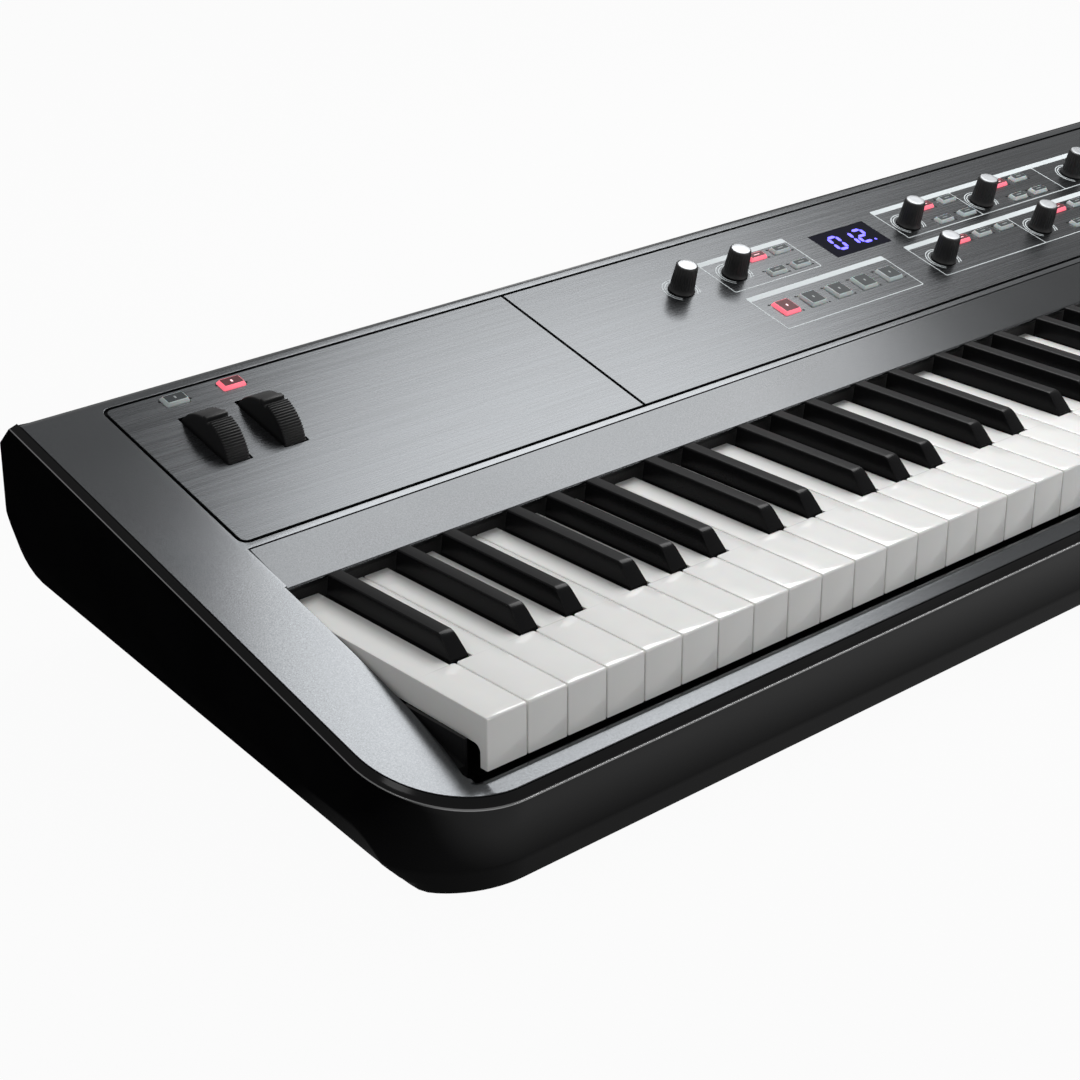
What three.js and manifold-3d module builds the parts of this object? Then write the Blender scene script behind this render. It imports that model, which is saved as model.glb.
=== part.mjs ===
// A stage piano with 88 keys, in millimetres.
// X runs along the keys to the treble, Y to the back and Z up.
// The origin is on the floor under the middle of the body.

import * as THREE from "three";
import { mergeVertices } from "three/addons/utils/BufferGeometryUtils.js";
import Module from "manifold-3d";

const wasm = await Module();
wasm.setup();

// Body: a lower case with a sloping sheet cover let into its rim
const endWidth = 46.14; // the body's side to the outer key
const rearMargin = 25.33; // panels to the rear wall, in plan
const frontHeight = 45.95; // floor to the line where the sloping top would meet the front wall
const fallboardRise = 11.67; // the cover's face above the naturals' tops, where the keys go under it
const footHeight = 2.5;
const caseWall = 4;
const frontCornerRadius = 54;
const rearCornerRadius = 12;
const rimWidth = 3.9; // the bevelled rim round the cover
const rimDrop = 3.5;
const rimStep = 0.5; // the rim's inner edge lies this far below the cover's face
const baseBandHeight = 12.2; // the band that leads from the front wall in to the base
const baseBandInset = 3;
const rearBevelDrop = 18.04; // the rear bevel's lower edge, below where top and rear wall would meet
const rearLean = 3; // the rear wall comes forward this much up to the bevel
const rearLeanLength = 39; // the leaning part's height
const rearBottomRadius = 45;

// Ends: a rising lower edge with a narrow band above it and a sloping facet below it
const endEdgeHeight = 8.07; // floor to the lower edge, at the front wall
const endEdgeRise = 43.9; // from the front wall to the rear wall
const endEdgeInset = 3.1;
const endBandHeight = 12;
const endRearRadius = 35;

// Fits
const fit = 0.3; // between pieces that seat on each other
const overrun = 5; // how far a cutting tool runs past the face that it cuts
const bigOverrun = 200; // the same, for the tools that shape the whole case

// Cover
const coverThickness = 3;
const coverLedge = 8; // inset of the ledge's inner edge in the case
const ledgeDepth = 8;
const frontRailDepth = 14.5; // front wall to the key well
const keySetback = 17; // front wall to the key fronts
const cheekGap = 1.5; // cover to the outer keys, at the back of the well
const cheekFlare = 9.6; // how much wider that gap gets towards the front
const cheekFlareLength = 31;
const wellCornerRadius = 6;

// Keys
const octaveWidth = 165;
const keyTopHeight = 77; // floor to the naturals' tops
const keyPlay = 1.17; // between two naturals
const naturalsPerOctave = 7;
const naturalFrontHeight = 25.9;
const lipThickness = 4.3;
const lipFilletDepth = 10.7;
const lipFilletHeight = 11.7;
const keyShowLength = 142; // the naturals' visible length
const naturalTopTuck = 4; // the naturals' thick part goes on this far under the fallboard
const notchStart = 48.8; // key front to the notches beside the sharps
const notchWidth = 13.2;
const beamBottom = 12.5; // depths below the naturals' tops
const beamTop = 3.5;
const beamTail = 70; // the keys' length behind what shows
const pivotInset = 4; // the beams' ends to the hinge line

// Sharps
const sharpStart = 50;
const sharpSlope = 11; // length of the sloping front
const sharpHeight = 10.5;
const sharpFoot = 0.8; // height where the sloping front begins
const sharpTopWidth = 8;
const sharpBaseWidth = 10.6;
const sharpDepth = 8; // underside, below the naturals' tops
const sharpRiseLength = 52;
const sharpRise = 4; // the beam's thicker rear part
const sharpHeelLength = 9;

// Webs that join the keys of an octave near their hinge
const naturalWebInset = 22; // the beams' ends to the webs
const naturalWebLength = 4;
const naturalWebHeight = 3;
const sharpWebInset = 15;
const sharpWebLength = 4;
const sharpWebHeight = 2.7;

// Key bed: a folded sheet frame with end blocks, and the bar that the keys rest up against
const sheet = 2;
const plateDepth = 38; // below the naturals' tops
const frameFront = 16;
const flangeLength = 10;
const hingeRailLength = 6;
const endBlockWidth = 10.8;
const endBlockGap = 1.2;
const endBlockFront = 11.5;
const endFinWidth = 1.6; // the block's raised edge beside the outer key
const endFinLength = 41.5;
const endFinDepth = 13.5;
const endBlockBottom = 31;
const endBlockTuck = 18; // the block goes on this far under the fallboard
const restBarTuck = 5;
const restBarLength = 9;
const restBarHeight = 10.2;
const restBarBevel = 2.5;
const restBarOverhang = 10;

// Fallboard
const fallboardDepth = 30.7; // in plan
const fallboardRibTuck = 7;
const fallboardRibLength = 3;

// Panels on the sloping top. Distances called up are measured up the slope from their front edge.
const panelMargin = 4.8; // fallboard to the panels' groove, in plan
const panelLength = 123.4;
const groove = 0.65; // half the groove round the panels
const panelSheet = 1.2;
const panelEnd = 0.2; // first key's side to the wheel panel's end
const panelSplit = 264.6; // first key's side to the groove between the panels
const panelCornerRadius = 4.5;
const shaftHole = 7;
const shaftDiameter = 6;

// Wheels
const wheelRadius = 24.2;
const wheelWidth = 13;
const wheelBehind = 45.1; // from the wheels' middle up the slope to the panels' end
const wheelDepth = 10.3; // the axle's depth below the panel
const wheelXs = { pitch_wheel: 37.8, modulation_wheel: 72.4 };
const wheelSlotWidth = 15.2;
const wheelSlotPlay = 0.9;
const wheelWindowPlay = 2.6;
const wheelGrooveDepth = 2.2;
const wheelGrooveWidth = 3.4;
const wheelGrooveLead = 6; // the finger groove lies this far behind the top of the wheel
const axleDiameter = 6;
const axleBore = 6.8;
const bracketPlate = 2.2;
const bracketDepth = 37; // the bracket's floor below the panel
const bracketLength = 18;
const bracketFloorLength = 36;
const bracketOverhang = 3; // clearance beside each wheel

// Buttons
const buttonHeight = 2;
const transposeWidth = 13;
const transposeLength = 7.2;
const transposeBehind = 7.4;
const transposeXs = { transpose_down_button: 38.4, transpose_up_button: 73.2 };
const selectorWidth = 14;
const selectorLength = 14;
const selectorUp = 39.5;
const selectorFirstX = 416.1;
const selectorPitch = 22.9;
const selectorCount = 5;
const smallWidth = 14.6;
const smallLength = 7.3;
const buttonTaper = 1.1;
const flangeWidth = 1.5;
const flangeThickness = 1.2;
const windowPlay = 1.6; // cover windows are this much wider than the buttons
const matMargin = 3;
const smallUpperRow = 91;
const smallLowerRow = 73;
const sideColumns = [441.8, 462.7];
const toneColumns = [598.6, 621.1, 674.5, 695.6, 763, 784.5];
const effectUpperRow = 49.6;
const effectLowerRow = 30.4;
const effectColumns = [587.8, 609.5, 631.6, 687, 708.3, 763, 784.5];
const effectLowerColumns = [687, 708.3];
const matSpine = 6; // the strip that joins the two parts of the wide mat

// Knobs
const knobHeight = 17.5;
const knobBaseDiameter = 16.4;
const knobTopDiameter = 13.2;
const knobSkirtHeight = 3;
const knobBodyDiameter = 14.6;
const knobs = {
  volume_knob: [369.8, 82.2],
  layer_knob: [414.6, 82.2],
  piano_tone_knob: [570.4, 79.2],
  keys_tone_knob: [643.8, 79.2],
  strings_tone_knob: [740.7, 79.2],
  effect_knob: [557.6, 37.6],
  reverb_knob: [655.1, 37.6],
};

// Display and circuit board
const displayLeft = 492;
const displayWidth = 50.6;
const displayUp = 68.3;
const displayLength = 26.8;
const displayPlate = 1;
const displayBorder = 2.4;
const boardLeft = 356;
const boardRight = 812;
const boardUp = 14;
const boardBehind = 11.4;
const boardDepth = 12;
const boardThickness = 1.6;
const bossSize = 7;
const bossMargin = 6;
const chipWidth = 34;
const chipLength = 20;
const chipHeight = 3;
const chipFirst = 60; // the first chip's distance from the board's left end
const chipPitch = 130;
const chipUp = 10;

// Jack panel in the rear wall
const jackCentre = 330; // to the right of the middle, seen from the front
const jackPanelWidth = 126;
const jackPanelHeight = 26;
const jackPanelDrop = 9; // below the rear bevel
const jackPanelThickness = 2.5;
const jackMargin = 4;
const jackHole = 9;
const jackCount = 5;
const jackPitch = 22;

// Feet
const footDiameter = 22;
const footStem = 6;
const footStemHole = 6.8;
const footStemRise = 6.5;
const footEndInset = 112;
const footFrontInset = 46;
const footRearInset = 84;

// Facets on round pieces
const cornerSteps = 7;
const rearSteps = 3;
const arcSteps = 5;
const knobSides = 16;
const wheelSides = 36;
const roundSides = 12;

// Worked out from the sizes above
const topSlope = (keyTopHeight + fallboardRise - frontHeight) / (keySetback + keyShowLength);
const topTilt = Math.atan(topSlope);
const pitch = octaveWidth / naturalsPerOctave;
const naturalCount = 52;
const keysWidth = naturalCount * pitch;
const fallboardEnd = keyShowLength + fallboardDepth;
const panelFront = fallboardEnd + panelMargin;
const panelRight = keysWidth - panelEnd;
const bodyWidth = keysWidth + 2 * endWidth;
const bodyDepth = keySetback + panelFront + panelLength * Math.cos(topTilt) + rearMargin;
const endEdgeSlope = endEdgeRise / bodyDepth;
const endEdgeTilt = Math.atan(endEdgeSlope);
const halfWidth = bodyWidth / 2;
const frontY = -bodyDepth / 2;
const rearY = bodyDepth / 2;
const keysLeft = -keysWidth / 2;
const keysFront = frontY + keySetback;
const caseFloor = footHeight + caseWall;
const rearWallHeight = frontHeight + bodyDepth * topSlope - rearBevelDrop;
const rearLeanStart = rearWallHeight - rearLeanLength;
const naturalTopLength = keyShowLength + naturalTopTuck;
const beamLength = keyShowLength + beamTail;
const pivotDistance = beamLength - pivotInset;
const sharpTopEnd = keyShowLength - 2 * fit;
const sharpRiseStart = beamLength - sharpRiseLength;
const naturalWebStart = beamLength - naturalWebInset;
const sharpWebStart = beamLength - sharpWebInset;
const coverGap = coverThickness + fit;
const endBlockTopEnd = (keyTopHeight - beamTop + coverGap - frontHeight) / topSlope - keySetback;
const endFinEnd = endBlockFront + endFinLength;
const endBlockEnd = keyShowLength + endBlockTuck;
const restBarStart = keyShowLength + restBarTuck;
const fallboardRibStart = keyShowLength + fallboardRibTuck;
const wheelCentreUp = panelLength - wheelBehind;
const transposeUp = panelLength - transposeBehind;
const boardLength = panelLength - boardUp - boardBehind;
const jackPanelBottom = rearWallHeight - jackPanelDrop - jackPanelHeight;

/** Height of the cover's face at a distance to the back, less a drop straight down. */
function topHeight(y, drop = 0) {
  return frontHeight + (y - frontY) * topSlope - drop;
}

/** The same height in the keyboard's frame. */
function levelAt(y, drop = 0) {
  return topHeight(y + keysFront, drop) - keyTopHeight;
}

/** Points of a circular arc, ends included. */
function arc(centreX, centreY, radius, from, to, steps) {
  return Array.from({ length: steps + 1 }, (_, i) => {
    const angle = from + ((to - from) * i) / steps;
    return [centreX + radius * Math.cos(angle), centreY + radius * Math.sin(angle)];
  });
}

/** The corners of a circle, without its first point again. */
function circle(x, y, diameter, sides = roundSides) {
  return arc(x, y, diameter / 2, 0, 2 * Math.PI, sides).slice(1);
}

/** A closed geometry as a solid that can be joined and cut. */
function solidOf(geometry) {
  const bare = geometry.clone();
  bare.deleteAttribute("normal");
  bare.deleteAttribute("uv");
  const merged = mergeVertices(bare);
  return new wasm.Manifold(
    new wasm.Mesh({
      numProp: 3,
      vertProperties: Float32Array.from(merged.attributes.position.array),
      triVerts: Uint32Array.from(merged.index.array),
    }),
  );
}

/** A solid as a geometry. */
function geometryOf(solid) {
  const mesh = solid.getMesh();
  const geometry = new THREE.BufferGeometry();
  geometry.setAttribute("position", new THREE.BufferAttribute(mesh.vertProperties, mesh.numProp));
  geometry.setIndex(new THREE.BufferAttribute(mesh.triVerts, 1));
  geometry.computeVertexNormals();
  return geometry;
}

const joined = (solids) => solids.reduce((sum, solid) => sum.add(solid));

/** A flat outline with holes, drawn straight up from one height to another. */
function raised(outline, low, high, holes = []) {
  const shape = new THREE.Shape(outline.map(([x, y]) => new THREE.Vector2(x, y)));
  shape.holes = holes.map((hole) => new THREE.Path(hole.map(([x, y]) => new THREE.Vector2(x, y))));
  const geometry = new THREE.ExtrudeGeometry(shape, { depth: high - low, bevelEnabled: false });
  return geometry.translate(0, 0, low);
}

/** A side profile of [y, z] points, drawn along X. */
function drawnAlongX(profile, left, right, holes = []) {
  const turn = new THREE.Matrix4().makeBasis(
    new THREE.Vector3(0, 1, 0),
    new THREE.Vector3(0, 0, 1),
    new THREE.Vector3(1, 0, 0),
  );
  return raised(profile, left, right, holes).applyMatrix4(turn);
}

/** A cross-section of [x, z] points, drawn along Y. */
function drawnAlongY(section, front, back) {
  const turn = new THREE.Matrix4().makeBasis(
    new THREE.Vector3(1, 0, 0),
    new THREE.Vector3(0, 0, 1),
    new THREE.Vector3(0, -1, 0),
  );
  return raised(section, -back, -front).applyMatrix4(turn);
}

/** A box given by its two corners. */
function block([x0, y0, z0], [x1, y1, z1]) {
  const box = new THREE.BoxGeometry(x1 - x0, y1 - y0, z1 - z0);
  return box.translate((x0 + x1) / 2, (y0 + y1) / 2, (z0 + z1) / 2);
}

/** An upright round post. */
function post(x, y, diameter, low, high, sides = roundSides) {
  return raised(circle(x, y, diameter, sides), low, high);
}

/** A closed skin through rings of points, lowest ring first, each counter-clockwise from above. */
function lofted(rings) {
  const count = rings[0].length;
  const index = [];
  for (let level = 0; level + 1 < rings.length; level += 1) {
    for (let i = 0; i < count; i += 1) {
      const a = level * count + i;
      const b = level * count + ((i + 1) % count);
      index.push(a, b, b + count, a, b + count, a + count);
    }
  }
  const flat = (ring) => ring.map(([x, y]) => new THREE.Vector2(x, y));
  const last = (rings.length - 1) * count;
  for (const [a, b, c] of THREE.ShapeUtils.triangulateShape(flat(rings[0]), [])) index.push(a, c, b);
  for (const [a, b, c] of THREE.ShapeUtils.triangulateShape(flat(rings.at(-1)), [])) {
    index.push(last + a, last + b, last + c);
  }
  const geometry = new THREE.BufferGeometry();
  geometry.setAttribute("position", new THREE.Float32BufferAttribute(rings.flat(2), 3));
  geometry.setIndex(index);
  return geometry;
}

/** A rectangle about a point, its size given by two half widths, at one height. */
function rectangle(x, y, halfX, halfY, z) {
  return [
    [x - halfX, y - halfY, z],
    [x + halfX, y - halfY, z],
    [x + halfX, y + halfY, z],
    [x - halfX, y + halfY, z],
  ];
}

const piano = new THREE.Group();

// The keyboard's own frame: from the first key's side, back from the key fronts, up from the naturals' tops
const keyboard = new THREE.Group();
keyboard.position.set(keysLeft, keysFront, keyTopHeight);
piano.add(keyboard);

// The panels' own frame: from the first key's side, up the slope from the panels' front edge, and out of it
const panels = new THREE.Group();
panels.position.set(keysLeft, keysFront + panelFront, topHeight(keysFront + panelFront));
panels.rotation.x = topTilt;
panels.updateMatrix();
piano.add(panels);

/** Adds a named piece to a group. */
function addPiece(group, name, shape, finish) {
  const geometry = shape.isBufferGeometry ? shape : geometryOf(shape);
  const mesh = new THREE.Mesh(geometry, new THREE.MeshStandardMaterial(finish));
  mesh.name = name;
  group.add(mesh);
  return mesh;
}

const glossBlack = { color: "#17171a", roughness: 0.25, metalness: 0 };
const mattBlack = { color: "#1d1d1f", roughness: 0.6, metalness: 0 };
const satinSilver = { color: "#7d7f82", roughness: 0.4, metalness: 0.7 };
const brushedGrey = { color: "#8a8c8e", roughness: 0.35, metalness: 0.8 };
const steel = { color: "#8d9095", roughness: 0.45, metalness: 0.9 };
const ivory = { color: "#f2f1ee", roughness: 0.2, metalness: 0 };
const ebony = { color: "#151517", roughness: 0.4, metalness: 0 };
const rubberBlack = { color: "#202022", roughness: 0.85, metalness: 0 };
const smokedGlass = { color: "#0a1030", roughness: 0.1, metalness: 0 };
const boardGreen = { color: "#1f4a33", roughness: 0.6, metalness: 0 };
const buttonGrey = { color: "#8f9696", roughness: 0.4, metalness: 0 };
const buttonLit = { color: "#f07080", roughness: 0.4, metalness: 0 };

/** The body's outline in plan, moved in by an inset: round front corners and tighter rear ones. */
function bodyOutline(inset) {
  const x = halfWidth - inset;
  const front = frontY + inset;
  const rear = rearY - inset;
  const frontR = Math.max(frontCornerRadius - inset, fit);
  const rearR = Math.max(rearCornerRadius - inset, fit);
  const quarter = Math.PI / 2;
  return [
    ...arc(-x + frontR, front + frontR, frontR, 2 * quarter, 3 * quarter, cornerSteps),
    ...arc(x - frontR, front + frontR, frontR, 3 * quarter, 4 * quarter, cornerSteps),
    ...arc(x - rearR, rear - rearR, rearR, 0, quarter, rearSteps),
    ...arc(-x + rearR, rear - rearR, rearR, quarter, 2 * quarter, rearSteps),
  ];
}

const slopedRing = (inset, drop) => bodyOutline(inset).map(([x, y]) => [x, y, topHeight(y, drop)]);
const levelRing = (inset, z) => bodyOutline(inset).map(([x, y]) => [x, y, z]);

/** What lies in front of the rear bevel, the leaning rear wall and the round rear bottom edge. */
function rearLimit(inset) {
  const wall = rearY - inset;
  const radius = Math.max(rearBottomRadius - inset, fit);
  const bottom = footHeight + inset;
  const bevelSum = rearY - rearLean + rearWallHeight - inset * Math.SQRT2;
  const top = rearWallHeight + bigOverrun;
  const profile = [
    [frontY - overrun, bottom],
    ...arc(wall - radius, bottom + radius, radius, -Math.PI / 2, 0, arcSteps),
    [wall, rearLeanStart],
    [wall - rearLean, bevelSum - wall + rearLean],
    [bevelSum - top, top],
    [frontY - overrun, top],
  ];
  return solidOf(drawnAlongX(profile, -halfWidth - overrun, halfWidth + overrun));
}

/**
 * What lies above one end's lower edge: a rising line that turns up the rear wall in an arc.
 * It is sheared, so that the edge drops by the given fall for each unit inward.
 */
function endLimit(side, fall, inset) {
  const lift = inset * Math.hypot(1, fall);
  const wall = rearY + overrun;
  const radius = endRearRadius;
  const low = endEdgeHeight + lift;
  const centreY = rearY - radius;
  const centreZ = low + (centreY - frontY) * endEdgeSlope + radius / Math.cos(endEdgeTilt);
  const top = centreZ + bigOverrun + (bodyWidth + bigOverrun) * fall;
  const profile = [
    [frontY - overrun, low - overrun * endEdgeSlope],
    ...arc(centreY, centreZ, radius, -Math.PI / 2 + endEdgeTilt, 0, arcSteps),
    [wall, centreZ + overrun],
    [wall, top],
    [frontY - overrun, top],
  ];
  const edgeX = side * (halfWidth - endEdgeInset);
  const outer = side * (halfWidth + overrun);
  const geometry = drawnAlongX(profile, Math.min(outer, -outer), Math.max(outer, -outer));
  const shear = new THREE.Matrix4().makeShear(0, side * fall, 0, 0, 0, 0);
  shear.setPosition(0, 0, -side * fall * edgeX);
  return solidOf(geometry.applyMatrix4(shear));
}

/** The case's outer form, or the same form moved in by a wall. */
function caseForm(inset, upperRings) {
  const rings = [
    levelRing(inset + baseBandInset, footHeight + inset),
    levelRing(inset, footHeight + baseBandHeight + inset),
    ...upperRings,
  ];
  let form = solidOf(lofted(rings)).intersect(rearLimit(inset));
  for (const side of [-1, 1]) {
    form = form.intersect(endLimit(side, 1, inset));
    form = form.intersect(endLimit(side, endBandHeight / endEdgeInset, inset));
  }
  return form;
}

/** The lower case: an open tub with a bevelled rim, a ledge for the cover, and holes for feet and jacks. */
function bottomCase() {
  let tub = caseForm(0, [slopedRing(0, rimStep + rimDrop), slopedRing(rimWidth, rimStep)]);
  const ledge = coverThickness + fit;
  tub = tub.subtract(caseForm(caseWall, [slopedRing(caseWall, ledge + ledgeDepth)]));
  const throat = lofted([
    slopedRing(coverLedge, ledge + ledgeDepth + overrun),
    slopedRing(coverLedge, -overrun),
  ]);
  tub = tub.subtract(solidOf(throat).intersect(rearLimit(caseWall)));
  const bed = bodyOutline(rimWidth).map(([x, y]) => [x, y > 0 ? y + bigOverrun : y]);
  const pocket = lofted([
    bed.map(([x, y]) => [x, y, topHeight(y, ledge)]),
    bed.map(([x, y]) => [x, y, topHeight(y, -overrun)]),
  ]);
  tub = tub.subtract(solidOf(pocket));
  for (const [x, y] of footPlaces) {
    tub = tub.subtract(solidOf(post(x, y, footStemHole, footHeight - overrun, caseFloor + overrun)));
  }
  const jackHalf = jackPanelWidth / 2 - jackMargin;
  const jackHole3 = block(
    [jackCentre - jackHalf, rearY - rearLean - caseWall - overrun, jackPanelBottom + jackMargin],
    [jackCentre + jackHalf, rearY + overrun, jackPanelBottom + jackPanelHeight - jackMargin],
  );
  return tub.subtract(solidOf(jackHole3));
}

const footX = halfWidth - footEndInset;
const footPlaces = [
  [-footX, frontY + footFrontInset],
  [footX, frontY + footFrontInset],
  [-footX, rearY - footRearInset],
  [footX, rearY - footRearInset],
];
const footNames = ["foot_front_left", "foot_front_right", "foot_rear_left", "foot_rear_right"];

/** The key well and the fallboard's place, in plan, in the keyboard's frame. */
function wellOutline(play) {
  const front = frontRailDepth - keySetback;
  const flareAt = (y) => -cheekGap - cheekFlare * Math.exp(-y / cheekFlareLength);
  const cornerY = front + wellCornerRadius;
  const cornerX = flareAt(cornerY) + wellCornerRadius;
  const bends = [0.25, 0.6, 1.1, 1.8, 3].map((share) => share * cheekFlareLength);
  const left = [
    ...arc(cornerX, cornerY, wellCornerRadius, 1.5 * Math.PI, Math.PI, arcSteps),
    ...bends.map((y) => [flareAt(y), y]),
    [flareAt(keyShowLength), keyShowLength],
    [-play, keyShowLength],
    [-play, fallboardEnd + play],
  ];
  return [...left, ...left.map(([x, y]) => [keysWidth - x, y]).reverse()];
}

/** Rectangles in the cover below the panels: [left, right, low, high] in the panels' frame. */
function coverWindows() {
  const around = (xs, ups, width, length) => [
    Math.min(...xs) - width / 2 - windowPlay,
    Math.max(...xs) + width / 2 + windowPlay,
    Math.min(...ups) - length / 2 - windowPlay,
    Math.max(...ups) + length / 2 + windowPlay,
  ];
  const wheelReach = wheelSlotHalf() + wheelWindowPlay;
  const selectors = Array.from({ length: selectorCount }, (_, i) => selectorFirstX + i * selectorPitch);
  const upper = [smallLowerRow, smallUpperRow];
  return [
    ...Object.values(wheelXs).map((x) => [
      x - wheelSlotWidth / 2,
      x + wheelSlotWidth / 2,
      wheelCentreUp - wheelReach,
      wheelCentreUp + wheelReach,
    ]),
    ...Object.values(transposeXs).map((x) => around([x], [transposeUp], transposeWidth, transposeLength)),
    around(selectors, [selectorUp], selectorWidth, selectorLength),
    around(sideColumns, upper, smallWidth, smallLength),
    around(toneColumns.slice(0, 2), upper, smallWidth, smallLength),
    around(toneColumns.slice(2, 4), upper, smallWidth, smallLength),
    around(toneColumns.slice(4), upper, smallWidth, smallLength),
    around(effectColumns.slice(0, 3), [effectUpperRow], smallWidth, smallLength),
    around(effectLowerColumns, [effectLowerRow, effectUpperRow], smallWidth, smallLength),
    around(effectColumns.slice(5), [effectUpperRow], smallWidth, smallLength),
    [
      displayLeft + displayBorder,
      displayLeft + displayWidth - displayBorder,
      displayUp + displayBorder,
      displayUp + displayLength - displayBorder,
    ],
  ];
}

/** Half the length of the slot that a wheel stands through. */
function wheelSlotHalf() {
  return Math.sqrt(wheelRadius ** 2 - wheelDepth ** 2) + wheelSlotPlay;
}

const inPanelFrame = (geometry) => solidOf(geometry.applyMatrix4(panels.matrix));

/** The cover: a sloping sheet with the key well, the panels' bed, its windows and the board's bosses. */
function topCover() {
  const inset = rimWidth + fit;
  const back = (y) => (y > 0 ? y + bigOverrun : y);
  const edge = bodyOutline(inset).map(([x, y]) => [x, back(y)]);
  const rings = [
    edge.map(([x, y]) => [x, y, topHeight(y, coverThickness)]),
    edge.map(([x, y]) => [x, y, topHeight(y)]),
  ];
  let cover = solidOf(lofted(rings)).intersect(rearLimit(0));
  const well = wellOutline(fit).map(([x, y]) => [x + keysLeft, y + keysFront]);
  cover = cover.subtract(solidOf(raised(well, footHeight, rearWallHeight + bigOverrun)));
  const bed = panelOutline(panelEnd - groove, panelRight + groove, 0, -groove);
  cover = cover.subtract(inPanelFrame(raised(bed, -panelSheet - fit, overrun)));
  for (const [left, right, low, high] of coverWindows()) {
    cover = cover.subtract(inPanelFrame(block([left, low, -overrun], [right, high, overrun])));
  }
  for (const [x, up] of Object.values(knobs)) {
    cover = cover.subtract(inPanelFrame(post(x, up, shaftHole, -overrun, overrun, roundSides)));
  }
  for (const x of [boardLeft + bossMargin, boardRight - bossMargin]) {
    for (const up of [boardUp + bossMargin, boardUp + boardLength - bossMargin]) {
      const half = bossSize / 2;
      const low = -boardDepth + fit;
      const boss = block([x - half, up - half, low], [x + half, up + half, -coverThickness + fit]);
      cover = cover.add(inPanelFrame(boss));
    }
  }
  return cover;
}

/** The outline of a panel in the panels' frame, round at the ends that a side names: -1, 1 or 0 for both. */
function panelOutline(left, right, side, margin) {
  const corner = (x, y, from) => {
    const towards = x === left ? -1 : 1;
    if (side && towards !== side) return [[x, y]];
    const radius = panelCornerRadius - margin;
    const inX = x - towards * radius;
    const inY = y + (y === margin ? radius : -radius);
    return arc(inX, inY, radius, from, from + Math.PI / 2, rearSteps);
  };
  const quarter = Math.PI / 2;
  return [
    ...corner(left, margin, 2 * quarter),
    ...corner(right, margin, 3 * quarter),
    ...corner(right, panelLength - margin, 0),
    ...corner(left, panelLength - margin, quarter),
  ];
}

/** A panel sheet between two places along X, with round corners at its free end and cut-outs. */
function panelPlate(left, right, freeSide, cutOuts) {
  let plate = solidOf(raised(panelOutline(left, right, freeSide, groove), -panelSheet, 0));
  for (const cutOut of cutOuts) plate = plate.subtract(solidOf(cutOut));
  return plate;
}

const slotIn = (x, up, width, length) =>
  block([x - width / 2, up - length / 2, -overrun], [x + width / 2, up + length / 2, overrun]);

/** Every small button of the two mats: [x, up, mat]. */
const smallButtons = [
  ...sideColumns.flatMap((x) => [smallLowerRow, smallUpperRow].map((up) => [x, up, "side"])),
  ...toneColumns.flatMap((x) => [smallLowerRow, smallUpperRow].map((up) => [x, up, "tone"])),
  ...effectColumns.map((x) => [x, effectUpperRow, "tone"]),
  ...effectLowerColumns.map((x) => [x, effectLowerRow, "tone"]),
];

const selectorXs = Array.from({ length: selectorCount }, (_, i) => selectorFirstX + i * selectorPitch);

/** A button: a tapered cap with a flange that holds it under the cover. */
function buttonCap(x, up, width, length) {
  const halfX = width / 2 - fit;
  const halfY = length / 2 - fit;
  const flangeTop = -coverThickness - fit;
  const flangeX = halfX + windowPlay + flangeWidth;
  const flangeY = halfY + windowPlay + flangeWidth;
  return lofted([
    rectangle(x, up, flangeX, flangeY, flangeTop - flangeThickness),
    rectangle(x, up, flangeX, flangeY, flangeTop),
    rectangle(x, up, halfX, halfY, flangeTop),
    rectangle(x, up, halfX, halfY, fit),
    rectangle(x, up, halfX - buttonTaper, halfY - buttonTaper, buttonHeight),
  ]);
}

/** A cap of a mat: its foot stands in the mat's web. */
function matCap(x, up) {
  const halfX = smallWidth / 2 - fit;
  const halfY = smallLength / 2 - fit;
  const foot = -coverThickness - fit - flangeThickness / 2;
  return lofted([
    rectangle(x, up, halfX, halfY, foot),
    rectangle(x, up, halfX, halfY, fit),
    rectangle(x, up, halfX - buttonTaper, halfY - buttonTaper, buttonHeight),
  ]);
}

/** A mat of small buttons: their caps on one thin web under the cover, pierced for knob shafts. */
function buttonMat(places, spineX, holes) {
  const top = -coverThickness - fit;
  const low = top - flangeThickness;
  const reachX = smallWidth / 2 + matMargin;
  const reachY = smallLength / 2 + matMargin;
  const rows = [...new Set(places.map(([, up]) => up))];
  const strips = rows.map((row) => {
    const xs = places.filter(([, up]) => up === row).map(([x]) => x);
    const left = Math.min(...xs) - reachX;
    const right = Math.max(...xs) + reachX;
    return block([left, row - reachY, low], [right, row + reachY, top]);
  });
  const spineLow = [spineX - matSpine, Math.min(...rows), low];
  const spine = block(spineLow, [spineX + matSpine, Math.max(...rows), top]);
  const caps = places.map(([x, up]) => matCap(x, up));
  let mat = joined([...strips, spine, ...caps].map(solidOf));
  for (const [x, up] of holes) {
    mat = mat.subtract(solidOf(post(x, up, shaftHole + matMargin, -boardDepth, overrun, roundSides)));
  }
  return mat;
}

/** A turned knob: a flared body on a shaft that reaches down to the board. */
function knob(x, up) {
  const profile = [
    [0, -boardDepth + fit],
    [shaftDiameter / 2, -boardDepth + fit],
    [shaftDiameter / 2, fit],
    [knobBaseDiameter / 2, fit],
    [knobBodyDiameter / 2, knobSkirtHeight],
    [knobTopDiameter / 2, knobHeight],
    [0, knobHeight],
  ].map(([r, z]) => new THREE.Vector2(r, z));
  const turned = new THREE.LatheGeometry(profile, knobSides);
  return turned.rotateX(Math.PI / 2).translate(x, up, 0);
}

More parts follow.
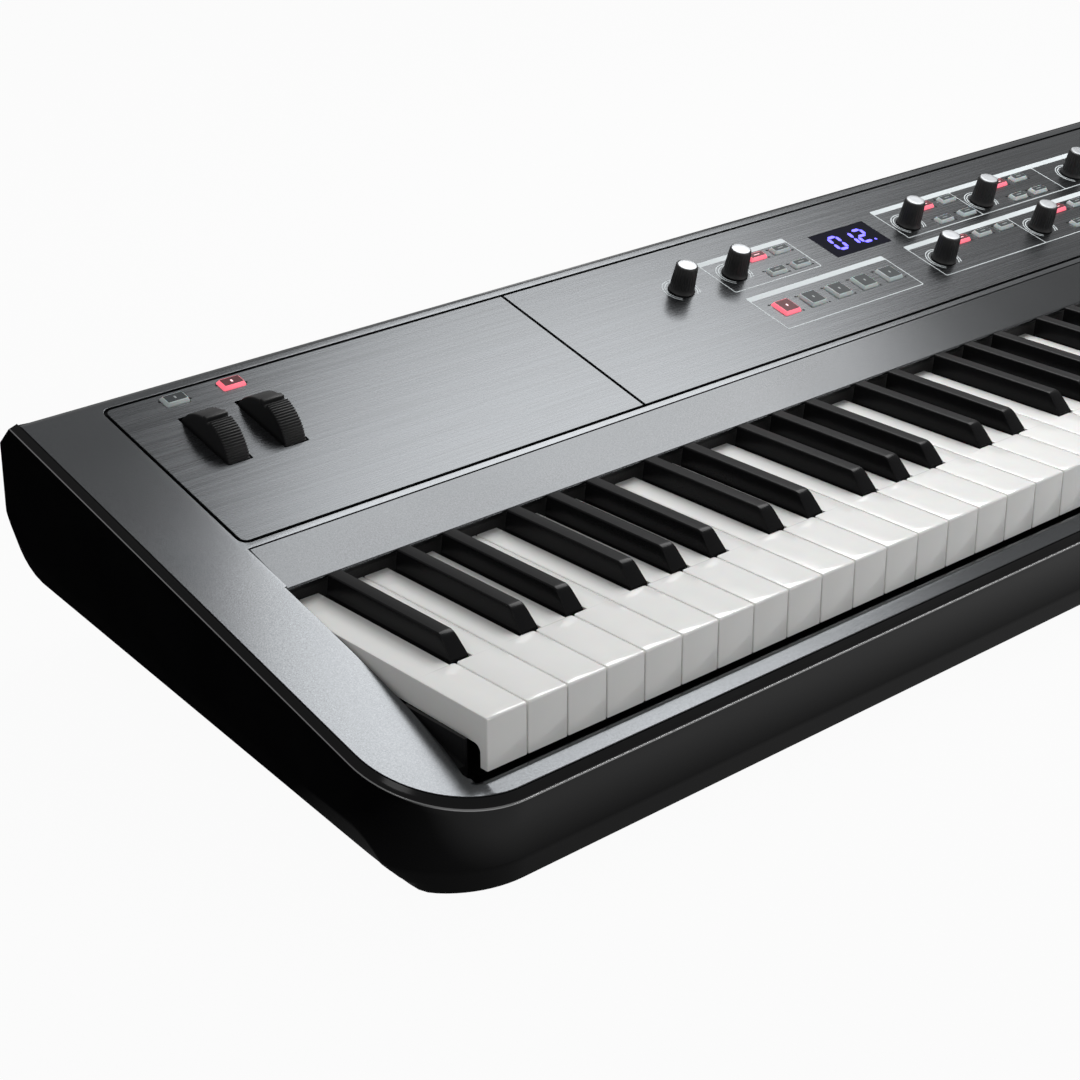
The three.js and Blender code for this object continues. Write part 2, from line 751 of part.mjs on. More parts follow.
/** A performance wheel about its own axle: a disc with a bore and a finger groove. */
function performanceWheel() {
  const rim = circle(0, 0, 2 * wheelRadius, wheelSides);
  const bore = circle(0, 0, axleBore);
  const half = wheelWidth / 2;
  const disc = solidOf(drawnAlongX(rim, -half, half, [bore]));
  const notch = block(
    [-half - overrun, wheelGrooveLead - wheelGrooveWidth / 2, wheelRadius - wheelGrooveDepth],
    [half + overrun, wheelGrooveLead + wheelGrooveWidth / 2, wheelRadius + overrun],
  );
  return disc.subtract(solidOf(notch));
}

/** The wheels' bracket: side plates on a floor, with one axle through them. */
function wheelBracket() {
  const xs = Object.values(wheelXs);
  const reach = wheelWidth / 2 + bracketOverhang;
  const plates = xs.flatMap((x) => [
    [x - reach - bracketPlate, x - reach],
    [x + reach, x + reach + bracketPlate],
  ]);
  const top = -coverThickness - fit;
  const floorTop = -bracketDepth + bracketPlate;
  const left = Math.min(...plates.flat());
  const right = Math.max(...plates.flat());
  const half = bracketLength / 2;
  const floorHalf = bracketFloorLength / 2;
  const pieces = plates.map(([a, b]) =>
    block([a, wheelCentreUp - half, -bracketDepth], [b, wheelCentreUp + half, top]),
  );
  const floorLow = [left, wheelCentreUp - floorHalf, -bracketDepth];
  pieces.push(block(floorLow, [right, wheelCentreUp + floorHalf, floorTop]));
  pieces.push(drawnAlongX(circle(wheelCentreUp, -wheelDepth, axleDiameter), left, right));
  return joined(pieces.map(solidOf));
}

/** The display: a plate in the panel's cut-out over a body that reaches down to the board. */
function displayWindow() {
  const x = displayLeft + displayWidth / 2;
  const up = displayUp + displayLength / 2;
  const halfX = displayWidth / 2 - fit;
  const halfY = displayLength / 2 - fit;
  const bodyX = halfX - displayBorder - fit;
  const bodyY = halfY - displayBorder - fit;
  return lofted([
    rectangle(x, up, bodyX, bodyY, -boardDepth + fit),
    rectangle(x, up, bodyX, bodyY, -panelSheet),
    rectangle(x, up, halfX, halfY, -panelSheet),
    rectangle(x, up, halfX, halfY, -panelSheet + displayPlate),
  ]);
}

/** The circuit board with its larger parts underneath. */
function mainBoard() {
  const low = -boardDepth - boardThickness;
  const board = [block([boardLeft, boardUp, low], [boardRight, boardUp + boardLength, -boardDepth])];
  for (let x = boardLeft + chipFirst; x + chipWidth < boardRight; x += chipPitch) {
    const up = boardUp + chipUp;
    board.push(block([x, up, low - chipHeight], [x + chipWidth, up + chipLength, low + fit]));
  }
  return joined(board.map(solidOf));
}

// Sharps, by their middles in an octave: three naturals share five equal tails, and four share seven
const tailOfThree = (3 * pitch) / 5;
const tailOfFour = (4 * pitch) / 7;
const sharpMiddles = [
  1.5 * tailOfThree,
  3.5 * tailOfThree,
  3 * pitch + 1.5 * tailOfFour,
  3 * pitch + 3.5 * tailOfFour,
  3 * pitch + 5.5 * tailOfFour,
];
const sharpOnLeft = [null, 0, 1, null, 2, 3, 4];
const sharpOnRight = [0, 1, null, 2, 3, 4, null];

/** A natural at its place in an octave: the side profile cut to the plan between its neighbours. */
function natural(step, leftSharp = sharpOnLeft[step], rightSharp = sharpOnRight[step]) {
  const left = step * pitch + keyPlay / 2;
  const right = (step + 1) * pitch - keyPlay / 2;
  const tailLeft = leftSharp === null ? left : sharpMiddles[leftSharp] + notchWidth / 2;
  const tailRight = rightSharp === null ? right : sharpMiddles[rightSharp] - notchWidth / 2;
  const quarter = Math.PI / 2;
  const fillet = [1, 2, 3].map((i) => (i * quarter) / 3).map((angle) => [
    lipThickness + lipFilletDepth * (1 - Math.cos(angle)),
    -naturalFrontHeight + lipFilletHeight * Math.sin(angle),
  ]);
  const profile = [
    [0, 0],
    [0, -naturalFrontHeight],
    [lipThickness, -naturalFrontHeight],
    ...fillet,
    [beamLength, -beamBottom],
    [beamLength, -beamTop],
    [naturalTopLength, -beamTop],
    [naturalTopLength, 0],
  ];
  const plan = [
    [left, -overrun],
    [right, -overrun],
    [right, notchStart],
    [tailRight, notchStart],
    [tailRight, beamLength + overrun],
    [tailLeft, beamLength + overrun],
    [tailLeft, notchStart],
    [left, notchStart],
  ];
  const side = solidOf(drawnAlongX(profile, left - overrun, right + overrun));
  return side.intersect(solidOf(raised(plan, -naturalFrontHeight - overrun, overrun)));
}

/** A sharp at its place in an octave: a tapered cap with a sloping front, on a beam with a heel. */
function sharp(step) {
  const middle = sharpMiddles[step];
  const heelStart = beamLength - sharpHeelLength;
  const profile = [
    [sharpStart, -sharpDepth],
    [sharpStart, sharpFoot],
    [sharpStart + sharpSlope, sharpHeight],
    [sharpTopEnd, sharpHeight],
    [sharpTopEnd, -beamTop],
    [sharpRiseStart, -beamTop],
    [sharpRiseStart, -beamTop + sharpRise],
    [beamLength, -beamTop + sharpRise],
    [beamLength, -beamBottom],
    [heelStart, -beamBottom],
    [heelStart, -sharpDepth],
  ];
  const section = [
    [middle - sharpBaseWidth / 2, -beamBottom - overrun],
    [middle + sharpBaseWidth / 2, -beamBottom - overrun],
    [middle + sharpBaseWidth / 2, sharpFoot],
    [middle + sharpTopWidth / 2, sharpHeight],
    [middle - sharpTopWidth / 2, sharpHeight],
    [middle - sharpBaseWidth / 2, sharpFoot],
  ];
  const side = solidOf(drawnAlongX(profile, middle - sharpBaseWidth, middle + sharpBaseWidth));
  return side.intersect(solidOf(drawnAlongY(section, sharpStart - overrun, beamLength + overrun)));
}

/** The web that joins an octave's naturals below the sharps' beams. */
function naturalWeb(lastStep) {
  const right = (lastStep + 1) * pitch - keyPlay / 2;
  const rear = naturalWebStart + naturalWebLength;
  const low = [keyPlay / 2, naturalWebStart, -beamBottom];
  return solidOf(block(low, [right, rear, -beamBottom + naturalWebHeight]));
}

/** The web that joins an octave's sharps above the naturals' beams. */
function sharpWeb() {
  const top = -beamTop + sharpRise;
  const half = sharpBaseWidth / 2;
  return solidOf(block(
    [sharpMiddles[0] - half, sharpWebStart, top - sharpWebHeight],
    [sharpMiddles.at(-1) + half, sharpWebStart + sharpWebLength, top],
  ));
}

/** The key bed: a folded sheet with the hinge rail at its back and a block at each end. */
function keybedFrame() {
  const foot = caseFloor + fit - keyTopHeight;
  const railStart = pivotDistance - hingeRailLength / 2;
  const railEnd = pivotDistance + hingeRailLength / 2;
  const railTop = -beamBottom - fit;
  const profile = [
    [frameFront - flangeLength, foot],
    [frameFront + sheet, foot],
    [frameFront + sheet, -plateDepth - sheet],
    [railEnd - sheet, -plateDepth - sheet],
    [railEnd - sheet, foot],
    [railEnd + flangeLength, foot],
    [railEnd + flangeLength, foot + sheet],
    [railEnd, foot + sheet],
    [railEnd, railTop],
    [railStart, railTop],
    [railStart, -plateDepth],
    [frameFront, -plateDepth],
    [frameFront, foot + sheet],
    [frameFront - flangeLength, foot + sheet],
  ];
  const blockProfile = [
    [endBlockFront, -endBlockBottom],
    [frameFront, -plateDepth - sheet],
    [endBlockEnd, -plateDepth - sheet],
    [endBlockEnd, -beamTop],
    [endBlockTopEnd, -beamTop],
    [endBlockFront, levelAt(endBlockFront, coverGap)],
  ];
  const finProfile = [
    [endBlockFront, -endBlockBottom],
    [endFinEnd, -endBlockBottom],
    [endFinEnd, -endFinDepth],
    [endBlockFront, -endFinDepth],
  ];
  const outer = -endBlockGap - endBlockWidth;
  const frameEnd = -endBlockGap - endFinWidth;
  return joined([
    solidOf(drawnAlongX(profile, frameEnd, keysWidth - frameEnd)),
    solidOf(drawnAlongX(blockProfile, outer, -endBlockGap)),
    solidOf(drawnAlongX(blockProfile, keysWidth + endBlockGap, keysWidth - outer)),
    solidOf(drawnAlongX(finProfile, -endBlockGap - endFinWidth, -endBlockGap)),
    solidOf(drawnAlongX(finProfile, keysWidth + endBlockGap, keysWidth + endBlockGap + endFinWidth)),
  ]);
}

/** The padded bar that stops the keys on their way up. */
function keyRestBar() {
  const low = -beamTop + fit;
  const profile = [
    [restBarStart, low],
    [restBarStart + restBarLength, low],
    [restBarStart + restBarLength, low + restBarHeight - restBarBevel],
    [restBarStart + restBarLength - restBarBevel, low + restBarHeight],
    [restBarStart + restBarBevel, low + restBarHeight],
    [restBarStart, low + restBarHeight - restBarBevel],
  ];
  return drawnAlongX(profile, -restBarOverhang, keysWidth + restBarOverhang);
}

/** The strip behind the keys, flush with the cover, with a rib that stands on the rest bar. */
function fallboard() {
  const ribEnd = fallboardRibStart + fallboardRibLength;
  const ribFoot = -beamTop + fit + restBarHeight + fit;
  const profile = [
    [keyShowLength, levelAt(keyShowLength)],
    [keyShowLength, levelAt(keyShowLength, coverThickness)],
    [fallboardRibStart, levelAt(fallboardRibStart, coverThickness)],
    [fallboardRibStart, ribFoot],
    [ribEnd, ribFoot],
    [ribEnd, levelAt(ribEnd, coverThickness)],
    [fallboardEnd, levelAt(fallboardEnd, coverThickness)],
    [fallboardEnd, levelAt(fallboardEnd)],
  ];
  return drawnAlongX(profile, 0, keysWidth);
}

/** The jack panel, upright in its own frame: a plate with a row of round sockets. */
function jackPanel() {
  const half = jackPanelWidth / 2;
  const outline = [[-half, 0], [half, 0], [half, jackPanelHeight], [-half, jackPanelHeight]];
  const holes = Array.from({ length: jackCount }, (_, i) =>
    circle((i - (jackCount - 1) / 2) * jackPitch, jackPanelHeight / 2, jackHole),
  );
  return raised(outline, 0, jackPanelThickness, holes).rotateX(Math.PI / 2);
}

/** A foot: a disc with a stem that stands in the case's floor. */
function foot() {
  const profile = [
    [0, 0],
    [footDiameter / 2, 0],
    [footDiameter / 2, footHeight - fit],
    [footStem / 2, footHeight - fit],
    [footStem / 2, footStemRise],
    [0, footStemRise],
  ].map(([r, z]) => new THREE.Vector2(r, z));
  return new THREE.LatheGeometry(profile, roundSides).rotateX(Math.PI / 2);
}

addPiece(piano, "bottom_case", bottomCase(), glossBlack);
addPiece(piano, "top_cover", topCover(), satinSilver);
addPiece(keyboard, "fallboard", fallboard(), satinSilver);
addPiece(keyboard, "keybed_frame", keybedFrame(), mattBlack);
addPiece(keyboard, "key_rest_bar", keyRestBar(), mattBlack);

const splitEdges = [panelSplit - groove, panelSplit + groove];
const wheelCutOuts = [
  ...Object.values(wheelXs).map((x) => slotIn(x, wheelCentreUp, wheelSlotWidth, 2 * wheelSlotHalf())),
  ...Object.values(transposeXs).map((x) => slotIn(x, transposeUp, transposeWidth, transposeLength)),
];
const wheelPanel = panelPlate(panelEnd + groove, splitEdges[0], -1, wheelCutOuts);
addPiece(panels, "wheel_panel", wheelPanel, brushedGrey);

const controlCutOuts = [
  ...smallButtons.map(([x, up]) => slotIn(x, up, smallWidth, smallLength)),
  ...selectorXs.map((x) => slotIn(x, selectorUp, selectorWidth, selectorLength)),
  ...Object.values(knobs).map(([x, up]) => post(x, up, shaftHole, -overrun, overrun, roundSides)),
  slotIn(displayLeft + displayWidth / 2, displayUp + displayLength / 2, displayWidth, displayLength),
];
const controlPanel = panelPlate(splitEdges[1], panelRight - groove, 1, controlCutOuts);
addPiece(panels, "control_panel", controlPanel, brushedGrey);

addPiece(panels, "display_window", displayWindow(), smokedGlass);
addPiece(panels, "main_board", mainBoard(), boardGreen);
addPiece(panels, "wheel_bracket", wheelBracket(), steel);

const leanAngle = Math.atan2(rearLean, rearWallHeight - rearLeanStart);
const jacks = addPiece(piano, "jack_panel", jackPanel(), mattBlack);
jacks.rotation.x = leanAngle;
const jackLeanY = (jackPanelBottom - rearLeanStart) * Math.tan(leanAngle);
const jackY = rearY - jackLeanY - (caseWall + fit) / Math.cos(leanAngle);
jacks.position.set(jackCentre, jackY, jackPanelBottom);

footPlaces.forEach(([x, y], i) => {
  const piece = addPiece(piano, footNames[i], foot(), rubberBlack);
  piece.position.set(x, y, 0);
});

for (const [name, x] of Object.entries(wheelXs)) {
  const wheel = addPiece(panels, name, performanceWheel(), mattBlack);
  wheel.position.set(x, wheelCentreUp, -wheelDepth);
}

for (const [name, x] of Object.entries(transposeXs)) {
  const finish = name.includes("up") ? buttonLit : buttonGrey;
  addPiece(panels, name, buttonCap(x, transposeUp, transposeWidth, transposeLength), finish);
}

selectorXs.forEach((x, i) => {
  const name = `selector_button_${i + 1}`;
  addPiece(panels, name, buttonCap(x, selectorUp, selectorWidth, selectorLength), i ? buttonGrey : buttonLit);
});

for (const [name, [x, up]] of Object.entries(knobs)) addPiece(panels, name, knob(x, up), ebony);

const middle = (xs) => xs.reduce((sum, x) => sum + x, 0) / xs.length;
const spines = { side: middle(sideColumns), tone: middle(effectLowerColumns) };
for (const [mat, spineX] of Object.entries(spines)) {
  const places = smallButtons.filter(([, , of]) => of === mat);
  addPiece(panels, `${mat}_button_mat`, buttonMat(places, spineX, Object.values(knobs)), buttonGrey);
}

// The lowest three keys: the last steps of an octave that begins below the keyboard
const lowestOctave = new THREE.Group();
lowestOctave.position.x = -5 * pitch;
keyboard.add(lowestOctave);
addPiece(lowestOctave, "key_a0", natural(5, null), ivory);
addPiece(lowestOctave, "key_a_sharp_0", sharp(4), ebony);
addPiece(lowestOctave, "key_b0", natural(6), ivory);

const naturalNames = ["c", "d", "e", "f", "g", "a", "b"];
const sharpNames = ["c_sharp", "d_sharp", "f_sharp", "g_sharp", "a_sharp"];
const octaveCount = 7;
for (let octave = 1; octave <= octaveCount; octave += 1) {
  const frame = new THREE.Group();
  frame.position.x = (2 + (octave - 1) * naturalsPerOctave) * pitch;
  keyboard.add(frame);
  if (octave === 1) {
    naturalNames.forEach((letter, step) => addPiece(frame, `key_${letter}1`, natural(step), ivory));
    sharpNames.forEach((letter, step) => addPiece(frame, `key_${letter}_1`, sharp(step), ebony));
  } else {
    const steps = naturalNames.map((_, step) => natural(step));
    const last = octave === octaveCount;
    if (last) steps.push(natural(naturalsPerOctave, null, null));
    const naturals = joined([naturalWeb(last ? naturalsPerOctave : naturalsPerOctave - 1), ...steps]);
    addPiece(frame, `naturals_octave_${octave}`, naturals, ivory);
    const sharps = joined([sharpWeb(), ...sharpNames.map((_, step) => sharp(step))]);
    addPiece(frame, `sharps_octave_${octave}`, sharps, ebony);
  }
}

export default piano;
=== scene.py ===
import math

import bmesh
import bpy
import numpy as np
from bpy.props import FloatProperty, FloatVectorProperty, IntProperty, PointerProperty
from mathutils import Matrix, Vector


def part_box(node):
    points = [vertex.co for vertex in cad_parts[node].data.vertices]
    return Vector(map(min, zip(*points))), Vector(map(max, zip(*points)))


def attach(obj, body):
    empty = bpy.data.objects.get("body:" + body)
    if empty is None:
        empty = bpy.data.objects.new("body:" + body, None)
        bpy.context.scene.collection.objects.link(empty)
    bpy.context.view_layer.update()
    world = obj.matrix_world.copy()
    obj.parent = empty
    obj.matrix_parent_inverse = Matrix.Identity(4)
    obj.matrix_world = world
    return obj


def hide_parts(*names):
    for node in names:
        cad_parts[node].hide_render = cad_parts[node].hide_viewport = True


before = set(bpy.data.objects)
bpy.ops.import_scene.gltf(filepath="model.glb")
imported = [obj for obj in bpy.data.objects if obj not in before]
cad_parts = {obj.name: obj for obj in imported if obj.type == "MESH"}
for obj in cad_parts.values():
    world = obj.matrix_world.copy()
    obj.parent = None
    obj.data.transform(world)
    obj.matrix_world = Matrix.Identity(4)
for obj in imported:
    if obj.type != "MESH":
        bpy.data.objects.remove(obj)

bl_info = {
    "name": "Stage piano",
    "version": (1, 0, 0),
    "blender": (4, 5, 0),
    "location": "3D View > Sidebar > Stage piano",
    "description": "Dresses the packed stage piano with its visible pieces and finishes",
    "category": "Object",
}

MM = 0.001

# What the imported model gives: the case's box, the keyboard's corner and the slope of the top
CASE_LOW, CASE_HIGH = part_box("bottom_case")
KEY_LOW, KEY_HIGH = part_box("key_a0")
COVER_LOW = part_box("top_cover")[0]
FALLBOARD_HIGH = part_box("fallboard")[1]
HALF_WIDTH = CASE_HIGH.x
FRONT = CASE_LOW.y
REAR = CASE_HIGH.y
BASE = CASE_LOW.z
COVER_SHEET = 3 * MM
SLOPE = (FALLBOARD_HIGH.z - COVER_LOW.z - COVER_SHEET) / (FALLBOARD_HIGH.y - COVER_LOW.y)
TILT = math.atan(SLOPE)
FRONT_TOP = COVER_LOW.z + COVER_SHEET - (COVER_LOW.y - FRONT) * SLOPE

# Keyboard: an octave of seven naturals, a small play between them, and 52 naturals in all
OCTAVE = 165 * MM
KEY_PLAY = 1.17 * MM
PITCH = OCTAVE / 7
NATURALS = 52
KEYS_WIDTH = NATURALS * PITCH
KEYS_LEFT = KEY_LOW.x - KEY_PLAY / 2
KEYS_FRONT = KEY_LOW.y
KEY_TOP = KEY_HIGH.z
KEY_SHOW = 142 * MM
BEAM_LENGTH = 212 * MM
BEAM_TOP = 3.5 * MM
FIT = 0.3 * MM

# Panels: their frame runs from the first key's side, up the slope from the panels' front edge, and outwards
PANEL_MARGIN = 4.8 * MM
PANEL_LENGTH = 123.4 * MM
PANEL_SHEET = 1.2 * MM
PANEL_FRONT = FALLBOARD_HIGH.y + PANEL_MARGIN
PANEL_HEIGHT = FRONT_TOP + (PANEL_FRONT - FRONT) * SLOPE
TO_ROW = Matrix.Translation((KEYS_LEFT, PANEL_FRONT, PANEL_HEIGHT)) @ Matrix.Rotation(TILT, 4, "X")
FROM_ROW = TO_ROW.inverted()
PANEL_SPLIT = 264.6 * MM

# Controls in the panels' frame that the frame's nodes don't give one by one
SMALL_SIZE = (14.6 * MM, 7.3 * MM)
SELECTOR_SIZE = (14.0 * MM, 14.0 * MM)
TRANSPOSE_SIZE = (14.6 * MM, 9.0 * MM)
TRANSPOSE_DROP = 0.5 * MM  # how far the transpose buttons' middle lies below the solids'
UPPER_ROWS = (73 * MM, 91 * MM)
EFFECT_ROWS = (30.4 * MM, 49.6 * MM)
SIDE_COLUMNS = (441.8 * MM, 462.7 * MM)
TONE_COLUMNS = tuple(x * MM for x in (598.6, 621.1, 674.5, 695.6, 763, 784.5))
EFFECT_COLUMNS = tuple(x * MM for x in (587.8, 609.5, 631.6, 687, 708.3, 763, 784.5))
EFFECT_LOWER_COLUMNS = (687 * MM, 708.3 * MM)
LIT_SMALL = [(x, UPPER_ROWS[1]) for x in (SIDE_COLUMNS[0], TONE_COLUMNS[0], TONE_COLUMNS[2])]
LIT_SMALL += [(x, EFFECT_ROWS[1]) for x in (EFFECT_COLUMNS[0], EFFECT_COLUMNS[3])]
KNOBS = [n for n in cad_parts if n.endswith("_knob")]
SELECTORS = [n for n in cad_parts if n.startswith("selector_button")]
TRANSPOSERS = ["transpose_down_button", "transpose_up_button"]
WHEELS = ["pitch_wheel", "modulation_wheel"]
LIT_LARGE = (SELECTORS[0], TRANSPOSERS[1])


def linear(code):
    """The linear colour of an sRGB hex value."""
    values = [int(code[i : i + 2], 16) / 255 for i in (1, 3, 5)]
    return tuple(v / 12.92 if v <= 0.04045 else ((v + 0.055) / 1.055) ** 2.4 for v in values)


def length(name, text, millimetres):
    """A length that a user can change."""
    return FloatProperty(name=name, description=text, default=millimetres * MM, unit="LENGTH", min=0.0)


def paint(name, text, code):
    """A colour that a user can change."""
    return FloatVectorProperty(name=name, description=text, default=linear(code), subtype="COLOR", size=3)


class PianoSizes(bpy.types.PropertyGroup):
    """Lengths of the visible forms."""

    rim_width: length("Rim width", "Bevelled rim round the cover", 3.4)
    rim_drop: length("Rim drop", "How far the rim falls outwards", 3.5)
    rim_step: length("Rim step", "The rim's inner edge below the cover's face", 0.5)
    rim_round: length("Rim rounding", "Radius of the rim's outer edge", 0.45)
    front_corner: length("Front corner", "Radius of the body's front corners in plan", 54)
    rear_corner: length("Rear corner", "Radius of the body's rear corners in plan", 2.5)
    rear_round: length("Rear rounding", "Radius of the rear bottom edge", 45)
    cover_round: length("Cover rounding", "Radius of the cover's rear edge", 5)
    sheet_round: length("Sheet rounding", "Radius of the cut edges of cover and panels", 0.2)
    key_round: length("Key rounding", "Radius of the naturals' upper edges", 0.5)
    key_front_round: length("Key front rounding", "Radius of the naturals' upper front edge", 1.1)
    sharp_round: length("Sharp rounding", "Radius of the sharps' upper edges", 0.9)
    print_thickness: length("Print thickness", "Thickness of the printed lines", 0.05)


class PianoFinishes(bpy.types.PropertyGroup):
    """Colours of the finishes, and the patterns' counts."""

    cover_paint: paint("Cover paint", "Dark silver metallic paint of the cover", "#595B5D")
    panel_metal: paint("Panel metal", "Brushed metal of the panels", "#505254")
    case_black: paint("Case black", "Glossy black of the lower case", "#070708")
    moulded_black: paint("Moulded black", "Satin black of the wheels and inner parts", "#161617")
    key_white: paint("Key white", "Polished white of the naturals", "#F2F2F0")
    key_black: paint("Key black", "Satin black of the sharps", "#0F0F10")
    skirt_grey: paint("Skirt grey", "Clear grey rubber of the buttons", "#C2CACA")
    # a lit button's red-pink is its lamp's light, painted into the rubber's colour as well as glowing
    skirt_lit: paint("Skirt lit", "Red-pink rubber of a lit button", "#FF7284")
    inset_dark: paint("Inset dark", "Printed dark top of the buttons", "#34383A")
    print_light: paint("Print light", "Pale ink of the printed lines", "#C2C8CA")
    display_dark: paint("Display dark", "Smoked window of the display", "#050514")
    display_light: paint("Display light", "Blue-violet light of the digits", "#574EFF")
    knob_black: paint("Knob black", "Matt black of the knob bodies", "#0E0E0F")
    cap_metal: paint("Cap metal", "Spun metal of the knob caps", "#8E9092")
    flutes: IntProperty(name="Flutes", description="Flutes round a knob's body", default=26, min=3)
    wheel_ribs: IntProperty(name="Wheel ribs", description="Ribs on a wheel's front", default=21, min=2)


# Mesh building


def top_height(y, drop=0.0):
    """Height of the cover's face at a distance to the back: a line with the top's slope, less a drop."""
    return FRONT_TOP + (y - FRONT) * SLOPE - drop


def outward(points, faces):
    """The faces in the order that makes the closed shell's volume positive."""
    total = 0.0
    for face in faces:
        corners = points[list(face)]
        fan = np.cross(corners[1:-1] - corners[0], corners[2:] - corners[0])
        total += float(np.sum(fan @ (corners[0] - points[0])))
    return faces if total > 0 else [face[::-1] for face in faces]


def skin(rings, closed=False):
    """A closed shell over rings of points, each joined to the next.

    The last ring is joined to the first, or both ends are filled.
    """
    index = np.arange(rings.shape[0] * rings.shape[1]).reshape(rings.shape[:2])
    turn = np.roll(index, -1, axis=1)
    if closed:
        sides = [index, turn, np.roll(turn, -1, axis=0), np.roll(index, -1, axis=0)]
        ends = []
    else:
        sides = [index[:-1], turn[:-1], turn[1:], index[1:]]
        ends = [index[0][::-1].tolist(), index[-1].tolist()]
    points = rings.reshape(-1, 3)
    return points, outward(points, np.stack(sides, axis=-1).reshape(-1, 4).tolist() + ends)


def stacked(loops, heights):
    """A closed shell over flat outlines, each at its own height."""
    rings = [np.column_stack([loop, np.full(len(loop), z)]) for loop, z in zip(loops, heights)]
    return skin(np.array(rings))


def box_shell(low, high):
    """A box between two corners: one square outline at two heights."""
    square = np.array([[0, 0], [1, 0], [1, 1], [0, 1]], float)
    low, high = np.array(low, float), np.array(high, float)
    flat = low[:2] + square * (high - low)[:2]
    return stacked([flat, flat], (low[2], high[2]))


def gathered(shells):
    """Several shells as one list of points and faces."""
    points, faces, start = [], [], 0
    for shell_points, shell_faces in shells:
        points.append(shell_points)
        faces += [[start + i for i in face] for face in shell_faces]
        start += len(shell_points)
    return np.concatenate(points), faces


def new_mesh(name, shell):
    """A mesh of a shell's points and faces."""
    points, faces = shell
    mesh = bpy.data.meshes.new(name)
    mesh.from_pydata(np.asarray(points).tolist(), [], faces)
    return mesh


def added(name, data):
    """A new object with the given data, linked to the scene."""
    made = bpy.data.objects.new(name, data)
    bpy.context.scene.collection.objects.link(made)
    return made


def evaluated(made):
    """The mesh of an object as its modifiers or its curve's fill make it."""
    depsgraph = bpy.context.evaluated_depsgraph_get()
    return bpy.data.meshes.new_from_object(made.evaluated_get(depsgraph))


def points_of(mesh):
    """A mesh's points as an array."""
    co = np.empty(len(mesh.vertices) * 3)
    mesh.vertices.foreach_get("co", co)
    return co.reshape(-1, 3)


def lowered(mesh, points, drop):
    """Moves a mesh's points down, each by its own drop."""
    points[:, 2] -= drop
    mesh.vertices.foreach_set("co", points.ravel())
    mesh.update()


def piece(name, shape, material, body, place=None, sharp_degrees=32.0, replaces=(), flat=False):
    """Makes a named piece from a shell or a mesh, in its material, riding on a body.

    A flat piece's large faces keep their own normals against its rounded edges.
    """
    mesh = shape if isinstance(shape, bpy.types.Mesh) else new_mesh(name, shape)
    mesh.name = name
    if place is not None:
        mesh.transform(place)
    mesh.materials.clear()
    mesh.materials.append(material)
    mesh.update()
    mesh.shade_smooth()
    mesh.set_sharp_from_angle(angle=math.radians(sharp_degrees))
    made = added(name, mesh)
    if flat:
        even = made.modifiers.new("even_normals", "WEIGHTED_NORMAL")
        even.keep_sharp, even.weight = True, 100
    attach(made, body)
    if replaces:
        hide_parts(*replaces)
    return made


def cleaned(mesh):
    """Merges a mesh's doubles, drops what has no area and turns its faces outwards."""
    work = bmesh.new()
    work.from_mesh(mesh)
    bmesh.ops.remove_doubles(work, verts=work.verts, dist=0.002 * MM)
    bmesh.ops.dissolve_degenerate(work, edges=work.edges, dist=0.001 * MM)
    bmesh.ops.recalc_face_normals(work, faces=work.faces)
    work.to_mesh(mesh)
    work.free()
    return mesh


def filled_outline(loops, low, high, rounding=0.0):
    """A flat plate between two heights: the first loop's outline less the others, with rounded edges."""
    curve = bpy.data.curves.new("outline", "CURVE")
    curve.dimensions = "2D"
    curve.fill_mode = "BOTH"
    curve.extrude = (high - low) / 2 - rounding
    curve.bevel_depth = rounding
    curve.bevel_resolution = 1
    curve.offset = -rounding
    for loop in loops:
        spline = curve.splines.new("POLY")
        spline.points.add(len(loop) - 1)
        flat = np.column_stack([loop, np.zeros(len(loop)), np.ones(len(loop))])
        spline.points.foreach_set("co", flat.ravel())
        spline.use_cyclic_u = True
    holder = added("outline", curve)
    mesh = evaluated(holder)
    bpy.data.objects.remove(holder)
    bpy.data.curves.remove(curve)
    mesh.transform(Matrix.Translation((0, 0, (low + high) / 2)))
    return cleaned(mesh)


def arc(x, y, radius, start, end, steps):
    """Points of an arc between two angles in degrees: the centre plus radius times cosine and sine."""
    angle = np.radians(np.linspace(start, end, steps + 1))
    return np.column_stack([x + radius * np.cos(angle), y + radius * np.sin(angle)])


def rounded_rectangle(left, right, low, high, radius, steps=5):
    """A rectangle's outline with quarter arcs at its corners, counter-clockwise."""
    radius = max(radius, 0.01 * MM)
    left, right, low, high = left + radius, right - radius, low + radius, high - radius
    corners = [(left, low, 180), (right, low, 270), (right, high, 0), (left, high, 90)]
    return np.concatenate([arc(x, y, radius, turn, turn + 90, steps) for x, y, turn in corners])


def panel_box(node):
    """Lowest and highest corner of a CAD node in the panels' frame."""
    corners = np.array([FROM_ROW @ v.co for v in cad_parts[node].data.vertices])
    return corners.min(0), corners.max(0)


def panel_middle(node):
    """The middle of a CAD node along the panels and up the slope."""
    low, high = panel_box(node)
    return (low[0] + high[0]) / 2, (low[1] + high[1]) / 2


def transposer_middle(node):
    """The middle of a transpose button's skirt in the panels' frame: the solid's, a drop lower."""
    x, up = panel_middle(node)
    return x, up - TRANSPOSE_DROP


def turned(profile, steps, x=0.0, y=0.0):
    """Rings of a profile of (radius, height) pairs turned round an upright axis at (x, y)."""
    angle = np.linspace(0, 2 * math.pi, steps, endpoint=False)
    radius, height = np.array(profile, float).T
    across = x + radius[:, None] * np.cos(angle)
    along = y + radius[:, None] * np.sin(angle)
    return np.stack([across, along, np.broadcast_to(height[:, None], across.shape)], axis=-1)


# Finishes

MIDDLE = (0.3, 0.7)  # the span that most of a noise pattern lies in


